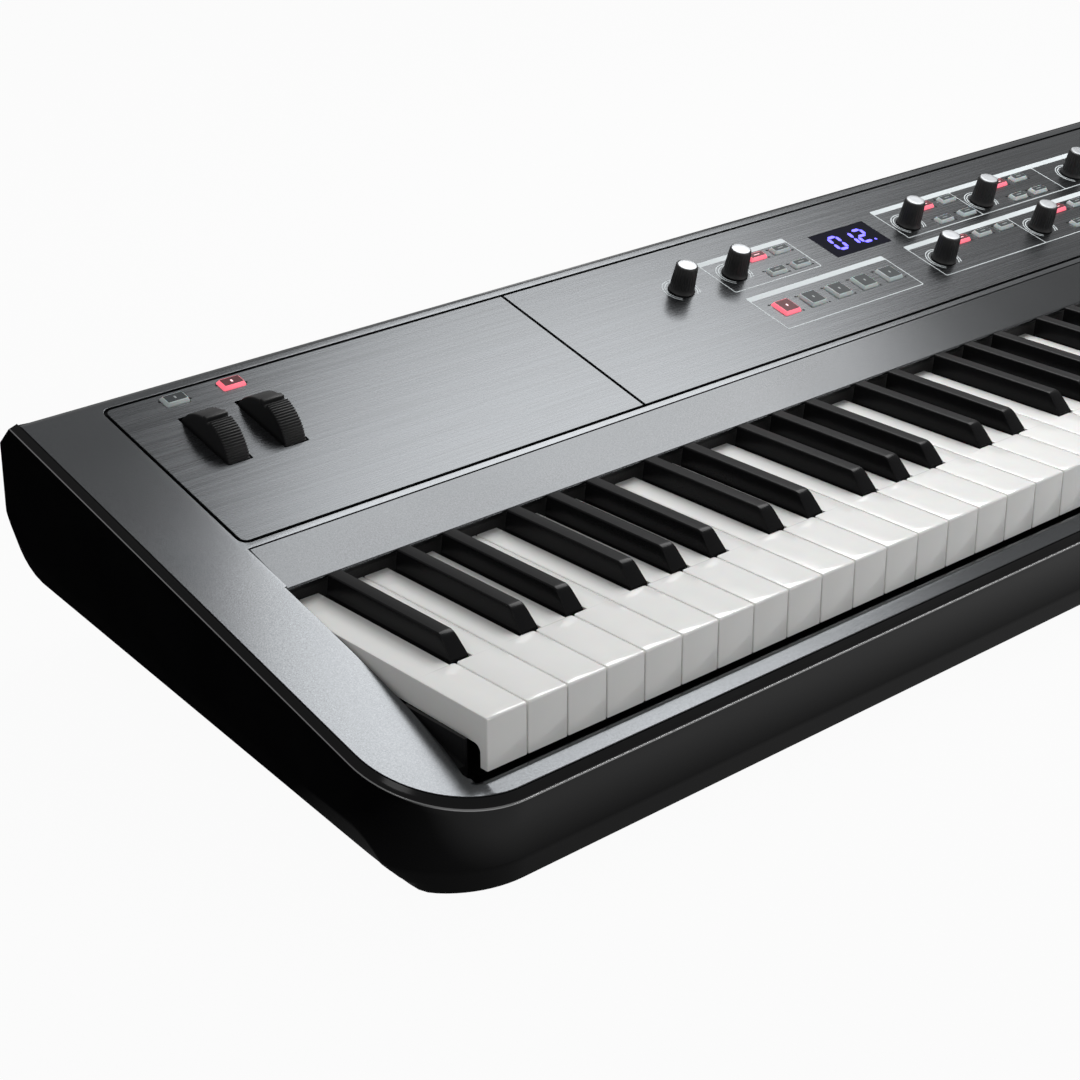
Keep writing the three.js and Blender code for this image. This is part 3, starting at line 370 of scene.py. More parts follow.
def add_node(tree, kind, inputs=(), **settings):
    """Adds a node with its settings; each input takes a value or another node's output."""
    node = tree.nodes.new(kind)
    for name, value in settings.items():
        setattr(node, name, value)
    for socket, value in dict(inputs).items():
        if isinstance(value, bpy.types.NodeSocket):
            tree.links.new(value, node.inputs[socket])
        else:
            node.inputs[socket].default_value = value
    return node


def ranged(value, span, levels=(0, 1)):
    """The inputs of a Map Range node that carries a value from a span to two levels."""
    low, high = levels
    return {"Value": value, "From Min": span[0], "From Max": span[1], "To Min": low, "To Max": high}


def scaled(colour, share):
    """A colour made darker or lighter by a share."""
    return tuple(min(c * share, 1.0) for c in colour)


class Finish:
    """A material with one Principled shader, and the ways in which a pattern shows in it."""

    def __init__(self, name, colour, roughness, **sockets):
        """Makes the material; a socket's name has _ for each space."""
        self.material = bpy.data.materials.new(name)
        self.material.use_nodes = True
        self.tree = self.material.node_tree
        self.shader = next(n for n in self.tree.nodes if n.type == "BSDF_PRINCIPLED")
        self.colour = colour
        sockets.update(Base_Color=(*colour, 1), Roughness=roughness)
        for socket, value in sockets.items():
            self.shader.inputs[socket.replace("_", " ")].default_value = value
        self.place = add_node(self.tree, "ShaderNodeTexCoord").outputs["Object"]

    def clouds(self, spacing, detail, stretch=(1, 1, 1)):
        """Noise about the given spacing in metres apart, drawn out along an axis by a share below 1."""
        mapping = add_node(self.tree, "ShaderNodeMapping", {"Vector": self.place, "Scale": stretch})
        inputs = {"Vector": mapping.outputs[0], "Scale": 1 / spacing, "Detail": detail}
        return add_node(self.tree, "ShaderNodeTexNoise", inputs).outputs["Fac"]

    def tint(self, pattern, dark, light, span=None, socket="Base Color"):
        """Carries the colour with a pattern, or with a span of it, from one share of itself to another."""
        if span:
            pattern = add_node(self.tree, "ShaderNodeMapRange", ranged(pattern, span)).outputs[0]
        ends = {6: (*scaled(self.colour, dark), 1), 7: (*scaled(self.colour, light), 1)}
        mixed = add_node(self.tree, "ShaderNodeMix", {"Factor": pattern, **ends}, data_type="RGBA")
        self.tree.links.new(mixed.outputs[2], self.shader.inputs[socket])

    def wear(self, pattern, low, high, span=MIDDLE):
        """Carries the roughness with a span of a pattern from one level to another."""
        level = add_node(self.tree, "ShaderNodeMapRange", ranged(pattern, span, (low, high)))
        self.tree.links.new(level.outputs[0], self.shader.inputs["Roughness"])

    def emboss(self, pattern, depth, strength=1.0):
        """Raises the surface with a pattern, by a real depth."""
        inputs = {"Height": pattern, "Distance": depth, "Strength": strength}
        raised = add_node(self.tree, "ShaderNodeBump", inputs)
        self.tree.links.new(raised.outputs["Normal"], self.shader.inputs["Normal"])


def metallic_paint(name, base):
    """Metallic paint, sprayed and baked: a satin silver with a fine flake that sparkles softly.

    The flake is drawn 0.8 mm wide, coarser than the real one, so that it shows.
    """
    made = Finish(name, base, 0.24, Metallic=0.9)
    flake = made.clouds(0.8 * MM, 3)
    made.tint(flake, 0.86, 1.1, MIDDLE)
    made.wear(made.clouds(90 * MM, 1), 0.2, 0.24)
    made.emboss(flake, 0.012 * MM)
    return made.material


def brushed_aluminium(colours):
    """Aluminium, brushed along the keyboard and anodised: fine streaks along X that stretch the highlights.

    The streaks are drawn 0.42 mm apart, coarser than the real ones, so that they show.
    """
    made = Finish("aluminium_brushed", colours.panel_metal, 0.36, Metallic=0.9, Anisotropic=0.4)
    fine = made.clouds(0.42 * MM, 2, (0.006, 1, 1))
    broad = made.clouds(1.3 * MM, 2, (0.012, 1, 1))
    streak = add_node(made.tree, "ShaderNodeMath", {0: fine, 1: broad}, operation="ADD").outputs[0]
    span = (0.7, 1.3)
    made.tint(streak, 0.8, 1.14, span)
    made.wear(streak, 0.24, 0.3, span)
    made.emboss(fine, 0.002 * MM, 0.5)
    return made.material


def gloss_black(colours):
    """ABS, moulded in a polished tool: a deep gloss black with faint wipe marks in its shine."""
    made = Finish("abs_polished_black", colours.case_black, 0.13, IOR=1.53, Specular_IOR_Level=0.2)
    smear = made.clouds(30 * MM, 4, (0.35, 1, 1))
    made.wear(smear, 0.09, 0.2)
    made.tint(smear, 0.8, 1.3, MIDDLE)
    return made.material


def polished_edge(colours):
    """ABS, flame polished: the case's rounded upper edge, which catches the lamps as one bright line."""
    coat = {"Coat_Weight": 1.0, "Coat_IOR": 2.4, "Coat_Roughness": 0.08, "Specular_IOR_Level": 1.0}
    made = Finish("abs_flame_polished_black", colours.case_black, 0.1, IOR=1.53, **coat)
    made.wear(made.clouds(12 * MM, 2), 0.07, 0.14)
    return made.material


def moulded_black(colours):
    """ABS, moulded in a lightly eroded tool: a satin black with a grain, drawn coarse enough to show."""
    made = Finish("abs_moulded_satin_black", colours.moulded_black, 0.42, IOR=1.53, Specular_IOR_Level=0.3)
    grain = made.clouds(0.5 * MM, 2)
    made.wear(grain, 0.36, 0.5)
    made.tint(grain, 0.8, 1.25)
    made.emboss(grain, 0.02 * MM)
    return made.material


def painted_shade_black(colours):
    """Matt black that stands for painted shade: the sheet under the panels, which shows in the grooves and
    cut-outs, and the slots' frames and pin holes.
    """
    black = scaled(colours.moulded_black, 0.35)
    made = Finish("powder_coat_matt_black", black, 0.7, Specular_IOR_Level=0.05)
    made.wear(made.clouds(0.6 * MM, 2), 0.6, 0.8)
    return made.material


def polished_white(colours):
    """Acrylic, moulded and polished: the naturals' clean white with a sharp gloss and a soft inner glow."""
    coat = {"Coat_Weight": 0.5, "Coat_Roughness": 0.03}
    inside = {"Subsurface_Weight": 0.06, "Subsurface_Scale": 1.5 * MM}
    made = Finish("acrylic_polished_white", colours.key_white, 0.16, IOR=1.49, **coat, **inside)
    cloud = made.clouds(18 * MM, 3)
    made.tint(cloud, 0.965, 1.02)
    made.wear(cloud, 0.12, 0.2)
    return made.material


def satin_sharp(colours):
    """Phenolic resin, moulded: satin on the flat top, where fingers rub, glossier on edges and sides.

    The grain is drawn coarse enough to show.
    """
    made = Finish("phenolic_satin_black", colours.key_black, 0.3, IOR=1.55, Specular_IOR_Level=0.1)
    normal = add_node(made.tree, "ShaderNodeNewGeometry").outputs["Normal"]
    up = add_node(made.tree, "ShaderNodeSeparateXYZ", {"Vector": normal}).outputs["Z"]
    made.wear(up, 0.22, 0.3, (0.9, 0.995))
    grain = made.clouds(0.5 * MM, 2)
    made.tint(grain, 0.85, 1.3)
    made.emboss(grain, 0.008 * MM)
    return made.material


def silicone(name, colour, glow):
    """Silicone rubber, moulded and clear: a milky skirt that a lamp below can fill with light."""
    layers = {"Subsurface_Weight": 0.3, "Subsurface_Scale": 2 * MM}
    lamp = {"Emission_Color": (*colour, 1), "Emission_Strength": glow}
    made = Finish(name, colour, 0.34, IOR=1.41, **layers, **lamp)
    made.tint(made.clouds(0.9 * MM, 2), 0.9, 1.08)
    return made.material


def printed_inset(name, colour):
    """Urethane ink, printed dark on the rubber and cured hard: the buttons' satin tops, red over a lamp,
    where the lamp's light is painted into its colour.
    """
    made = Finish(name, colour, 0.4, Specular_IOR_Level=0.12)
    made.tint(made.clouds(0.7 * MM, 2), 0.85, 1.12)
    return made.material


def screen_print(colours):
    """Epoxy ink, screen printed on the metal: pale opaque lines whose tone is slightly uneven."""
    made = Finish("epoxy_ink_pale", colours.print_light, 0.6, Specular_IOR_Level=0.15)
    made.tint(made.clouds(1.2 * MM, 2), 0.9, 1.05)
    return made.material


def lamp_ink(name, colour, glow):
    """Clear window in the print with a lamp behind it: a small mark that glows evenly."""
    made = Finish(name, colour, 0.4, Emission_Strength=glow)
    made.tint(made.clouds(3 * MM, 1), 0.92, 1.08, socket="Emission Color")
    return made.material


def smoked_window(colours):
    """Acrylic, smoked and polished: a nearly black window with a mirror gloss and a blue cast."""
    made = Finish("acrylic_smoked_polished", colours.display_dark, 0.08, IOR=1.49, Specular_IOR_Level=0.08)
    made.tint(made.clouds(12 * MM, 2), 0.7, 1.4)
    return made.material


def knob_plastic(colours):
    """ABS, moulded matt: a soft black that hardly shines, with a grain drawn coarse enough to show."""
    made = Finish("abs_moulded_matt_black", colours.knob_black, 0.48, IOR=1.53)
    grain = made.clouds(0.45 * MM, 2)
    made.wear(grain, 0.42, 0.55)
    made.emboss(grain, 0.02 * MM)
    return made.material


def spun_cap(colours):
    """Aluminium, face-turned on a lathe: a pale satin disc whose highlight is drawn out one way."""
    made = Finish("aluminium_face_turned", colours.cap_metal, 0.3, Metallic=1.0, Anisotropic=0.85)
    along = add_node(made.tree, "ShaderNodeTangent", direction_type="UV_MAP", uv_map="turning")
    made.tree.links.new(along.outputs[0], made.shader.inputs["Tangent"])
    made.tint(made.clouds(0.5 * MM, 2), 0.85, 1.05)
    return made.material


def rubber():
    """Natural rubber, moulded: a dull black-grey with a dusty bloom."""
    made = Finish("rubber_moulded_black", linear("#1B1B1C"), 0.8)
    bloom = made.clouds(4 * MM, 4)
    made.tint(bloom, 0.7, 1.6)
    made.emboss(bloom, 0.05 * MM)
    return made.material


def black_felt():
    """Wool felt, pressed and dyed black: a deep dull black with a soft fibre nap."""
    made = Finish("wool_felt_black", linear("#0D0D0E"), 0.85, Sheen_Weight=0.4, Sheen_Roughness=0.5)
    nap = made.clouds(1.1 * MM, 5)
    made.tint(nap, 0.6, 1.7)
    made.emboss(nap, 0.15 * MM)
    return made.material


def zinc_steel():
    """Steel sheet, zinc plated: a grey metal with a faint crystal bloom."""
    made = Finish("steel_zinc_plated", linear("#8D9196"), 0.38, Metallic=1.0)
    crystals = {"Vector": made.place, "Scale": 1 / (6 * MM)}
    colour = add_node(made.tree, "ShaderNodeTexVoronoi", crystals).outputs["Color"]
    level = add_node(made.tree, "ShaderNodeSeparateColor", {"Color": colour}).outputs[0]
    made.tint(level, 0.8, 1.15)
    made.wear(level, 0.3, 0.48, (0, 1))
    return made.material


def board_laminate():
    """Glass-epoxy board with green solder mask: dark green with lighter copper runs under it."""
    made = Finish("glass_epoxy_green", linear("#1E4A32"), 0.35, IOR=1.5)
    made.tint(made.clouds(3 * MM, 1, (0.15, 1, 1)), 1, 1.8, (0.48, 0.52))
    return made.material


def nickel():
    """Brass, nickel plated and polished: the bright collars of the sockets."""
    made = Finish("brass_nickel_plated", linear("#C9C5BC"), 0.18, Metallic=1.0)
    made.wear(made.clouds(2 * MM, 3), 0.14, 0.28)
    return made.material


# Lower case

CORNER_STEPS = 20
REAR_STEPS = 8
CORNER_LEAST = (2.0 * MM, 1.0 * MM)  # least radius of the inner rings' corners, in front and behind
SIDE_POINTS = 34
FRONT_POINTS = 7
REAR_CLOSE = (0.16, 26)  # a share of the rear side at each end, and the points in it
REAR_WIDE = (0.2, 0.8, 7)  # the same for the middle
CASE_SHARP = 24  # degrees from which the case's edges look sharp
REAR_WALL = 119.0 * MM  # height of the rear wall, from where it leans forwards, and how far
LEAN_START = 80.0 * MM
REAR_LEAN = 3.0 * MM
BAND_HEIGHT = 12.2 * MM  # the folded band under the walls, and how far in it ends
BAND_INSET = 2.7 * MM
END_EDGE = 8.07 * MM  # the ends' lower edge: its height in front, and how far it rises to the back
END_RISE = 43.9 * MM
END_INSET = 3.1 * MM  # the ends' own band
END_BAND = 12.0 * MM
END_REAR_ROUND = 32.0 * MM
CASE_WALL = 4.0 * MM
LEDGE_INSET = 8.0 * MM
LEDGE_DEPTH = 8.0 * MM
SOFT_FOLD = 2.2 * MM  # about how far apart two faces of the underside start to run into each other
BOTTOM = BASE - 1.3 * MM  # between the feet, which reach lower
RIM_TURNS = (25, 45, 65, 90)  # degrees round the rim's outer edge
RIM_FALL = 0.9  # how far the edge drops round it, over a quarter circle's drop
UNDER_TURNS = (8, 14, 20, 28, 36, 45, 54, 63, 72, 81, 90)  # degrees round the rear bottom edge
UNDER_RINGS = (0.6 * MM, 1.5 * MM, BAND_INSET, END_INSET, 9 * MM, 50 * MM)  # insets of the other rings below
INNER_RINGS = (0.0, 3 * MM, 9 * MM, 46 * MM)  # and of those inside
# Where the slope of the top meets the rear bevel, by their heights.
TOP_REAR = (REAR - REAR_LEAN + REAR_WALL - FRONT_TOP + FRONT * SLOPE) / (1 + SLOPE)
FOOT_EDGE = 0.7 * MM  # the wall's lowest ring above its bottom edge
UPPER_SHARES = (0.1, 0.9)  # the ring at REAR_WALL keeps between these shares of the wall's height
LOWER_SHARES = (0.06, 0.8)  # the one at LEAN_START above a share of that, and below one of the upper ring's
LEDGE_BACK = 1.5 * CASE_WALL  # how far the ledge's last ring lies in front of the bevel's line
LEDGE_CLEAR = 1.0 * MM  # how far the floor's rings stay below the ledge
FLOOR_THICKNESS = 1.4 * CASE_WALL
JACK_OPENING = 4.0 * MM  # the jack panel's edge that stays behind the wall
JACK_CUT = 15.0 * MM  # the opening's cut to each side of the wall


def case_outline(inset, sizes):
    """The body in plan, moved in: straight sides and quarter arcs, wide in front and tight behind.

    The points of the left and right side crowd to their ends by half of one less a cosine.
    """
    x, front, rear = HALF_WIDTH - inset, FRONT + inset, REAR - inset
    wide = max(sizes.front_corner - inset, CORNER_LEAST[0])
    tight = max(sizes.rear_corner - inset, CORNER_LEAST[1])
    share = (1 - np.cos(np.linspace(0, math.pi, SIDE_POINTS)))[1:-1, None] / 2
    run = np.linspace(0, 1, FRONT_POINTS)[1:-1, None]
    ends = np.linspace(0, *REAR_CLOSE)
    dense = np.concatenate([ends, np.linspace(*REAR_WIDE), 1 - ends[::-1]])[1:-1, None]

    def line(start, end, shares):
        return np.array(start) + (np.array(end) - np.array(start)) * shares

    parts = [
        arc(-x + wide, front + wide, wide, 180, 270, CORNER_STEPS),
        line((-x + wide, front), (x - wide, front), run),
        arc(x - wide, front + wide, wide, 270, 360, CORNER_STEPS),
        line((x, front + wide), (x, rear - tight), share),
        arc(x - tight, rear - tight, tight, 0, 90, REAR_STEPS),
        line((x - tight, rear), (-x + tight, rear), dense),
        arc(-x + tight, rear - tight, tight, 90, 180, REAR_STEPS),
        line((-x, rear - tight), (-x, front + wide), share),
    ]
    return np.concatenate(parts)


def end_edge(y):
    """Height of an end's lower edge: a rising line that turns up the rear wall in a quarter arc."""
    slope = END_RISE / (REAR - FRONT)
    middle = REAR - END_REAR_ROUND
    line = END_EDGE + (y - FRONT) * slope
    centre = END_EDGE + (middle - FRONT) * slope + END_REAR_ROUND * math.hypot(1, slope)
    reach = np.clip(y - middle, 0, END_REAR_ROUND)
    curve = centre - np.sqrt(np.maximum(END_REAR_ROUND**2 - reach**2, 0))
    return np.where(y > middle + END_REAR_ROUND * math.sin(math.atan(slope)), curve, line)


def softly_higher(a, b):
    """The higher of two heights, rounded where they are alike: half of their sum and softened distance."""
    return (a + b + np.sqrt((a - b) ** 2 + SOFT_FOLD**2)) / 2


def underside(x, y, inset, sizes):
    """Height of the case's underside: the upper envelope of base, front band, end facets and rear arc.

    Band and facets are straight lines over the inset. The arc is its radius less the root of the radius
    squared less the reach squared, and runs softly into the facets.
    """
    inward = HALF_WIDTH - np.abs(x)
    edge = end_edge(y)
    band = BOTTOM + BAND_HEIGHT * (1 - inset / BAND_INSET)
    facet = np.maximum(edge - (inward - END_INSET), edge + END_BAND * (1 - inward / END_INSET))
    radius = sizes.rear_round
    reach = np.clip(y - (REAR - radius), 0, radius)
    rear = BOTTOM + radius - np.sqrt(np.maximum(radius**2 - reach**2, 0))
    return np.maximum(softly_higher(rear, facet), band)


def rear_limit(z):
    """How far back the rear wall stands at a height: upright, then leaning, then a bevel of 45 degrees."""
    lean = REAR - REAR_LEAN * np.clip((z - LEAN_START) / (REAR_WALL - LEAN_START), 0, 1)
    return np.minimum(lean, REAR - REAR_LEAN + REAR_WALL - z)


def top_ring(inset, drop, sizes, back=0.0):
    """A ring on the sloping top at an inset and a drop.

    Behind, it ends at the bevel and lies under the cover.
    """
    ring = case_outline(inset, sizes)
    x, y = ring.T
    under = COVER_SHEET + FIT
    is_rear = (y > TOP_REAR) & (HALF_WIDTH - np.abs(x) > sizes.rim_width + FIT)
    drop = np.where(is_rear, max(drop, under), drop)
    y = np.minimum(y, TOP_REAR + drop / (1 + SLOPE) - back)
    return np.column_stack([x, y, top_height(y, drop)])


def case_shell(sizes):
    """The lower case: rings down from the rim over the wall and inwards under it, then back up inside.

    Also gives which faces form the rim's rounded edge.
    """
    width, fall, step, r = sizes.rim_width, sizes.rim_drop, sizes.rim_step, sizes.rim_round
    rings = [top_ring(width, step, sizes)]
    bevel = fall / width
    for inset in ((width + r) / 2, r):
        rings.append(top_ring(inset, step + (width - inset) * bevel, sizes))
    for turn in np.radians(RIM_TURNS):
        drop = step + fall - r * bevel + r * (1 + bevel) * (1 - math.cos(turn)) * RIM_FALL
        rings.append(top_ring(r * (1 - math.sin(turn)), drop, sizes))
    outer = case_outline(0, sizes)
    foot = underside(*outer.T, 0.0, sizes)
    wall = rings[-1][:, 2] - foot
    upper = np.clip(REAR_WALL, foot + UPPER_SHARES[0] * wall, foot + UPPER_SHARES[1] * wall)
    lower = np.clip(LEAN_START, foot + LOWER_SHARES[0] * wall, foot + LOWER_SHARES[1] * (upper - foot))
    for z in (upper, lower, foot + FOOT_EDGE, foot):
        rings.append(np.column_stack([outer[:, 0], np.minimum(outer[:, 1], rear_limit(z)), z]))
    arc_insets = sizes.rear_round * (1 - np.cos(np.radians(UNDER_TURNS)))
    for inset in np.unique([*UNDER_RINGS, *arc_insets]):
        ring = case_outline(inset, sizes)
        rings.append(np.column_stack([ring, underside(*ring.T, inset, sizes)]))
    under = COVER_SHEET + FIT
    deep = under + LEDGE_DEPTH
    inside = [
        top_ring(width, under, sizes),
        top_ring(LEDGE_INSET, under, sizes, LEDGE_INSET),
        top_ring(LEDGE_INSET, deep, sizes, LEDGE_INSET),
        top_ring(CASE_WALL, deep, sizes, LEDGE_BACK),
    ]
    for inset in np.unique([*INNER_RINGS, *arc_insets]):
        ring = case_outline(inset + CASE_WALL, sizes)
        z = underside(*ring.T, inset + CASE_WALL, sizes) + FLOOR_THICKNESS
        z = np.minimum(z, inside[3][:, 2] - LEDGE_CLEAR)
        y = np.minimum(ring[:, 1], rear_limit(z) - CASE_WALL)
        inside.append(np.column_stack([ring[:, 0], y, z]))
    edge = (len(inside) + 2) * len(outer)
    return skin(np.array(inside[::-1] + rings)), slice(edge, edge + len(RIM_TURNS) * len(outer))


def cut_opening(made, low, high):
    """Cuts a box out of a piece and keeps the result as its mesh."""
    cutter = added("cutter", new_mesh("cutter", box_shell(low, high)))
    cut = made.modifiers.new("opening", "BOOLEAN")
    cut.object = cutter
    cut.operation = "DIFFERENCE"
    mesh = evaluated(made)
    made.modifiers.remove(cut)
    made.data = mesh
    bpy.data.objects.remove(cutter)


class PIANO_OT_case(bpy.types.Operator):
    """Lower case with its bevelled rim, folded band, end facets and jack opening"""

    bl_idname = "piano.case"
    bl_label = "Lower case"

    def execute(self, context):
        colours = context.scene.piano_finishes
        shell, edge = case_shell(context.scene.piano_sizes)
        gloss = gloss_black(colours)
        made = piece("lower_case", shell, gloss, "case", None, CASE_SHARP, ["bottom_case"])
        made.data.materials.append(polished_edge(colours))
        index = np.zeros(len(made.data.polygons), int)
        index[edge] = 1
        made.data.polygons.foreach_set("material_index", index)
        cleaned(made.data)
        low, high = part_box("jack_panel")
        corner = (low.x + JACK_OPENING, REAR - JACK_CUT, low.z + JACK_OPENING)
        cut_opening(made, corner, (high.x - JACK_OPENING, REAR + JACK_CUT, high.z - JACK_OPENING))
        made.data.set_sharp_from_angle(angle=math.radians(CASE_SHARP))
        return {"FINISHED"}


# Cover, fallboard and panels

FRONT_RAIL = 15.8 * MM
RAIL_LIFT = 0.9 * MM  # how far the front rail rises above the cover's plane where the roll starts
ROLL_START = 11.0 * MM  # where the front rail starts to roll down towards the keys
ROLL_RADIUS = 5.0 * MM
ROLL_FADE = (4.5 * MM, 10.5 * MM)  # how far left of the keys the roll starts to fade, and has faded
ROLL_END = 18.5 * MM  # how far back the roll has faded at the cheeks
CHEEK_GAP = 1.5 * MM
CHEEK_FLARE = 9.6 * MM
CHEEK_LENGTH = 31.0 * MM
CHEEK_CROWDING = 1.6  # power that crowds the cheek's points to the front
WELL_CORNER = 6.0 * MM
FALLBOARD_LEAN = 0.06  # the fallboard's fall to the front, over the cover's
FALLBOARD_SHADE_SHARE = 0.56  # its paint is this much of the cover's: a darker copy, painted shade for its fall to the front
FALLBOARD_ROUND = 1.1 * MM
FALLBOARD_REAR_ROUND = 0.6 * MM
FALLBOARD_SINK = 0.2 * MM  # its rear edge below the cover's plane
FALLBOARD_END = (0.9 * MM, 0.35 * MM)  # the bevel at its ends, along the keys and down
FALLBOARD_EDGE = 1.0 * MM  # depth down to which the bevel reaches
BACKING_GAP = 0.05 * MM
PLATE_ROUND = 0.12 * MM
CUT_ROUND = 0.8 * MM  # rounding of the cut-outs' corners
DISPLAY_ROUND = 0.3 * MM
WHEEL_SLOT = 15.2 * MM
WHEEL_PLAY = 0.9 * MM
KNOB_HOLE = 7.0 * MM
GROOVE = 0.95 * MM  # half the black groove round the panels
PANEL_END = 0.2 * MM
PANEL_RIGHT = KEYS_WIDTH - PANEL_END
PANEL_CORNER = 4.5 * MM
COVER_BACKING = 1.5 * MM  # the cover's thickness under the panels' bed
STEP_START = 252.0 * MM  # where the cover's rear edge steps in, from each end of the keys
STEP_DEPTH = 2.6 * MM
BEND_TURNS = (4, 60)  # degrees of the rear edge's bend where it is cut
BEND_SHARE = 0.55  # how far it falls, as a share of a quarter circle's drop
ROLL_TURN = 72  # degrees of the front rail's roll where the last cut lies
ROLL_REACH = 0.99  # how much of a quarter circle's radius the roll and the bend use, short of its upright end
BEND_REACH = 0.98


def up_slope(y):
    """How far up the slope a distance to the back lies, from the panels' front edge."""
    return (y - PANEL_FRONT) / math.cos(TILT)


def on_slope(plan):
    """Plan points as places along the panels and up the slope."""
    return np.column_stack([plan[:, 0] - KEYS_LEFT, up_slope(plan[:, 1])])


def cover_outline(sizes):
    """The cover in plan: moved in by the rim, round in front, straight behind with a shallow step."""
    inset = sizes.rim_width + FIT
    x, front = HALF_WIDTH - inset, FRONT + inset
    wide = sizes.front_corner - inset
    step, forward = -KEYS_LEFT - STEP_START, TOP_REAR - STEP_DEPTH
    parts = [
        [(-x, TOP_REAR)],
        arc(-x + wide, front + wide, wide, 180, 270, CORNER_STEPS),
        arc(x - wide, front + wide, wide, 270, 360, CORNER_STEPS),
        [(x, TOP_REAR), (step, TOP_REAR), (step - STEP_DEPTH, forward)],
        [(STEP_DEPTH - step, forward), (-step, TOP_REAR)],
    ]
    return np.concatenate(parts)


def well_outline():
    """The key well in plan: its front corners, its cheeks and the fallboard's place.

    A cheek stands off the keys by a gap and a flare times e to the minus distance back over a length.
    """
    corner_y = FRONT_RAIL - (KEYS_FRONT - FRONT) + WELL_CORNER
    y = corner_y + (KEY_SHOW - corner_y) * np.linspace(0, 1, 26) ** CHEEK_CROWDING
    x = -CHEEK_GAP - CHEEK_FLARE * np.exp(-y / CHEEK_LENGTH)
    round_corner = arc(x[0] + WELL_CORNER, corner_y, WELL_CORNER, 270, 180, 7)
    back = FALLBOARD_HIGH.y - KEYS_FRONT + FIT
    left = np.concatenate([round_corner, np.column_stack([x, y])[1:], [(-FIT, KEY_SHOW), (-FIT, back)]])
    right = np.column_stack([KEYS_WIDTH - left[:, 0], left[:, 1]])[::-1]
    return np.concatenate([left, right]) + np.array([KEYS_LEFT, KEYS_FRONT])


def panel_outline(left, right, margin, round_left=True, round_right=True):
    """A panel's outline: a rectangle moved in by a margin, round at its free end."""
    loop = rounded_rectangle(left, right, margin, PANEL_LENGTH - margin, PANEL_CORNER - margin)
    middle = (left + right) / 2
    square = rounded_rectangle(left, right, margin, PANEL_LENGTH - margin, 0)
    keep_left = round_left | (loop[:, 0] > middle)
    keep_right = round_right | (loop[:, 0] < middle)
    return np.where((keep_left & keep_right)[:, None], loop, square)


def cut_lines(mesh, axis, places):
    """Cuts a mesh along straight lines across an axis, so that it can bend there."""
    work = bmesh.new()
    work.from_mesh(mesh)
    normal = [1 if n == axis else 0 for n in range(3)]
    for place in places:
        everything = work.verts[:] + work.edges[:] + work.faces[:]
        point = [place * n for n in normal]
        bmesh.ops.bisect_plane(work, geom=everything, plane_co=point, plane_no=normal, dist=0.001 * MM)
    work.to_mesh(mesh)
    work.free()


def smooth_step(value, start, end):
    """A share that rises from 0 to 1 between two values, level at both."""
    share = np.clip((value - start) / (end - start), 0, 1)
    return share * share * (3 - 2 * share)


def roll_front(mesh, sizes):
    """Rolls the front rail down to the keys: a slight rise, then a quarter circle's drop.

    The drop is the radius less the root of the radius squared less the reach squared. Both fade out
    smoothly at the cheeks.
    """
    lip, start = up_slope(FRONT + sizes.rim_width + FIT), up_slope(FRONT + ROLL_START)
    rail, end = up_slope(FRONT + FRONT_RAIL), up_slope(FRONT + ROLL_END)
    cuts = start + ROLL_RADIUS * np.sin(np.radians(np.linspace(0, ROLL_TURN, 9)))
    cut_lines(mesh, 1, [*cuts, *np.linspace(rail, end, 5)])
    fades = np.linspace(-ROLL_FADE[1], -ROLL_FADE[0], 6)
    cut_lines(mesh, 0, [*fades, *(KEYS_WIDTH - fades)])
    co = points_of(mesh)
    outside = np.maximum(-co[:, 0], co[:, 0] - KEYS_WIDTH)
    reach = np.clip(co[:, 1] - start, 0, ROLL_RADIUS * ROLL_REACH)
    drop = ROLL_RADIUS - np.sqrt(ROLL_RADIUS**2 - reach**2)
    drop -= RAIL_LIFT * np.clip((co[:, 1] - lip) / (start - lip), 0, 1)
    drop *= (1 - smooth_step(outside, *ROLL_FADE)) * (1 - smooth_step(co[:, 1], rail, end))
    lowered(mesh, co, drop)


def bend_rear(mesh, sizes):
    """Rounds the cover's rear edge down, by a share of a quarter circle's drop as in roll_front."""
    radius = sizes.cover_round
    back = up_slope(TOP_REAR)
    cut_lines(mesh, 1, back - radius * np.sin(np.radians(np.linspace(*BEND_TURNS, 9))))
    co = points_of(mesh)
    reach = np.clip(co[:, 1] - (back - radius), 0, radius * BEND_REACH)
    lowered(mesh, co, (radius - np.sqrt(radius**2 - reach**2)) * BEND_SHARE)


def rectangle_at(x, up, wide, long, play=0.0, radius=0.4 * MM):
    """A rectangle's outline about a point, with its sides moved out by a play."""
    across, along = wide / 2 + play, long / 2 + play
    return rounded_rectangle(x - across, x + across, up - along, up + along, radius, 2)


def small_places():
    """Every small button: its place along the panels and up the slope, and its mat."""
    places = [(x, up, "side") for x in SIDE_COLUMNS for up in UPPER_ROWS]
    places += [(x, up, "tone") for x in TONE_COLUMNS for up in UPPER_ROWS]
    places += [(x, EFFECT_ROWS[1], "tone") for x in EFFECT_COLUMNS]
    places += [(x, EFFECT_ROWS[0], "tone") for x in EFFECT_LOWER_COLUMNS]
    return places


def wheel_slot(node):
    """A wheel's slot: its middle, width and length where the wheel's circle meets the panel's face."""
    low, high = panel_box(node)
    radius = (high[1] - low[1]) / 2
    depth = radius - high[2]
    return *panel_middle(node), WHEEL_SLOT, 2 * (math.sqrt(radius**2 - depth**2) + WHEEL_PLAY)


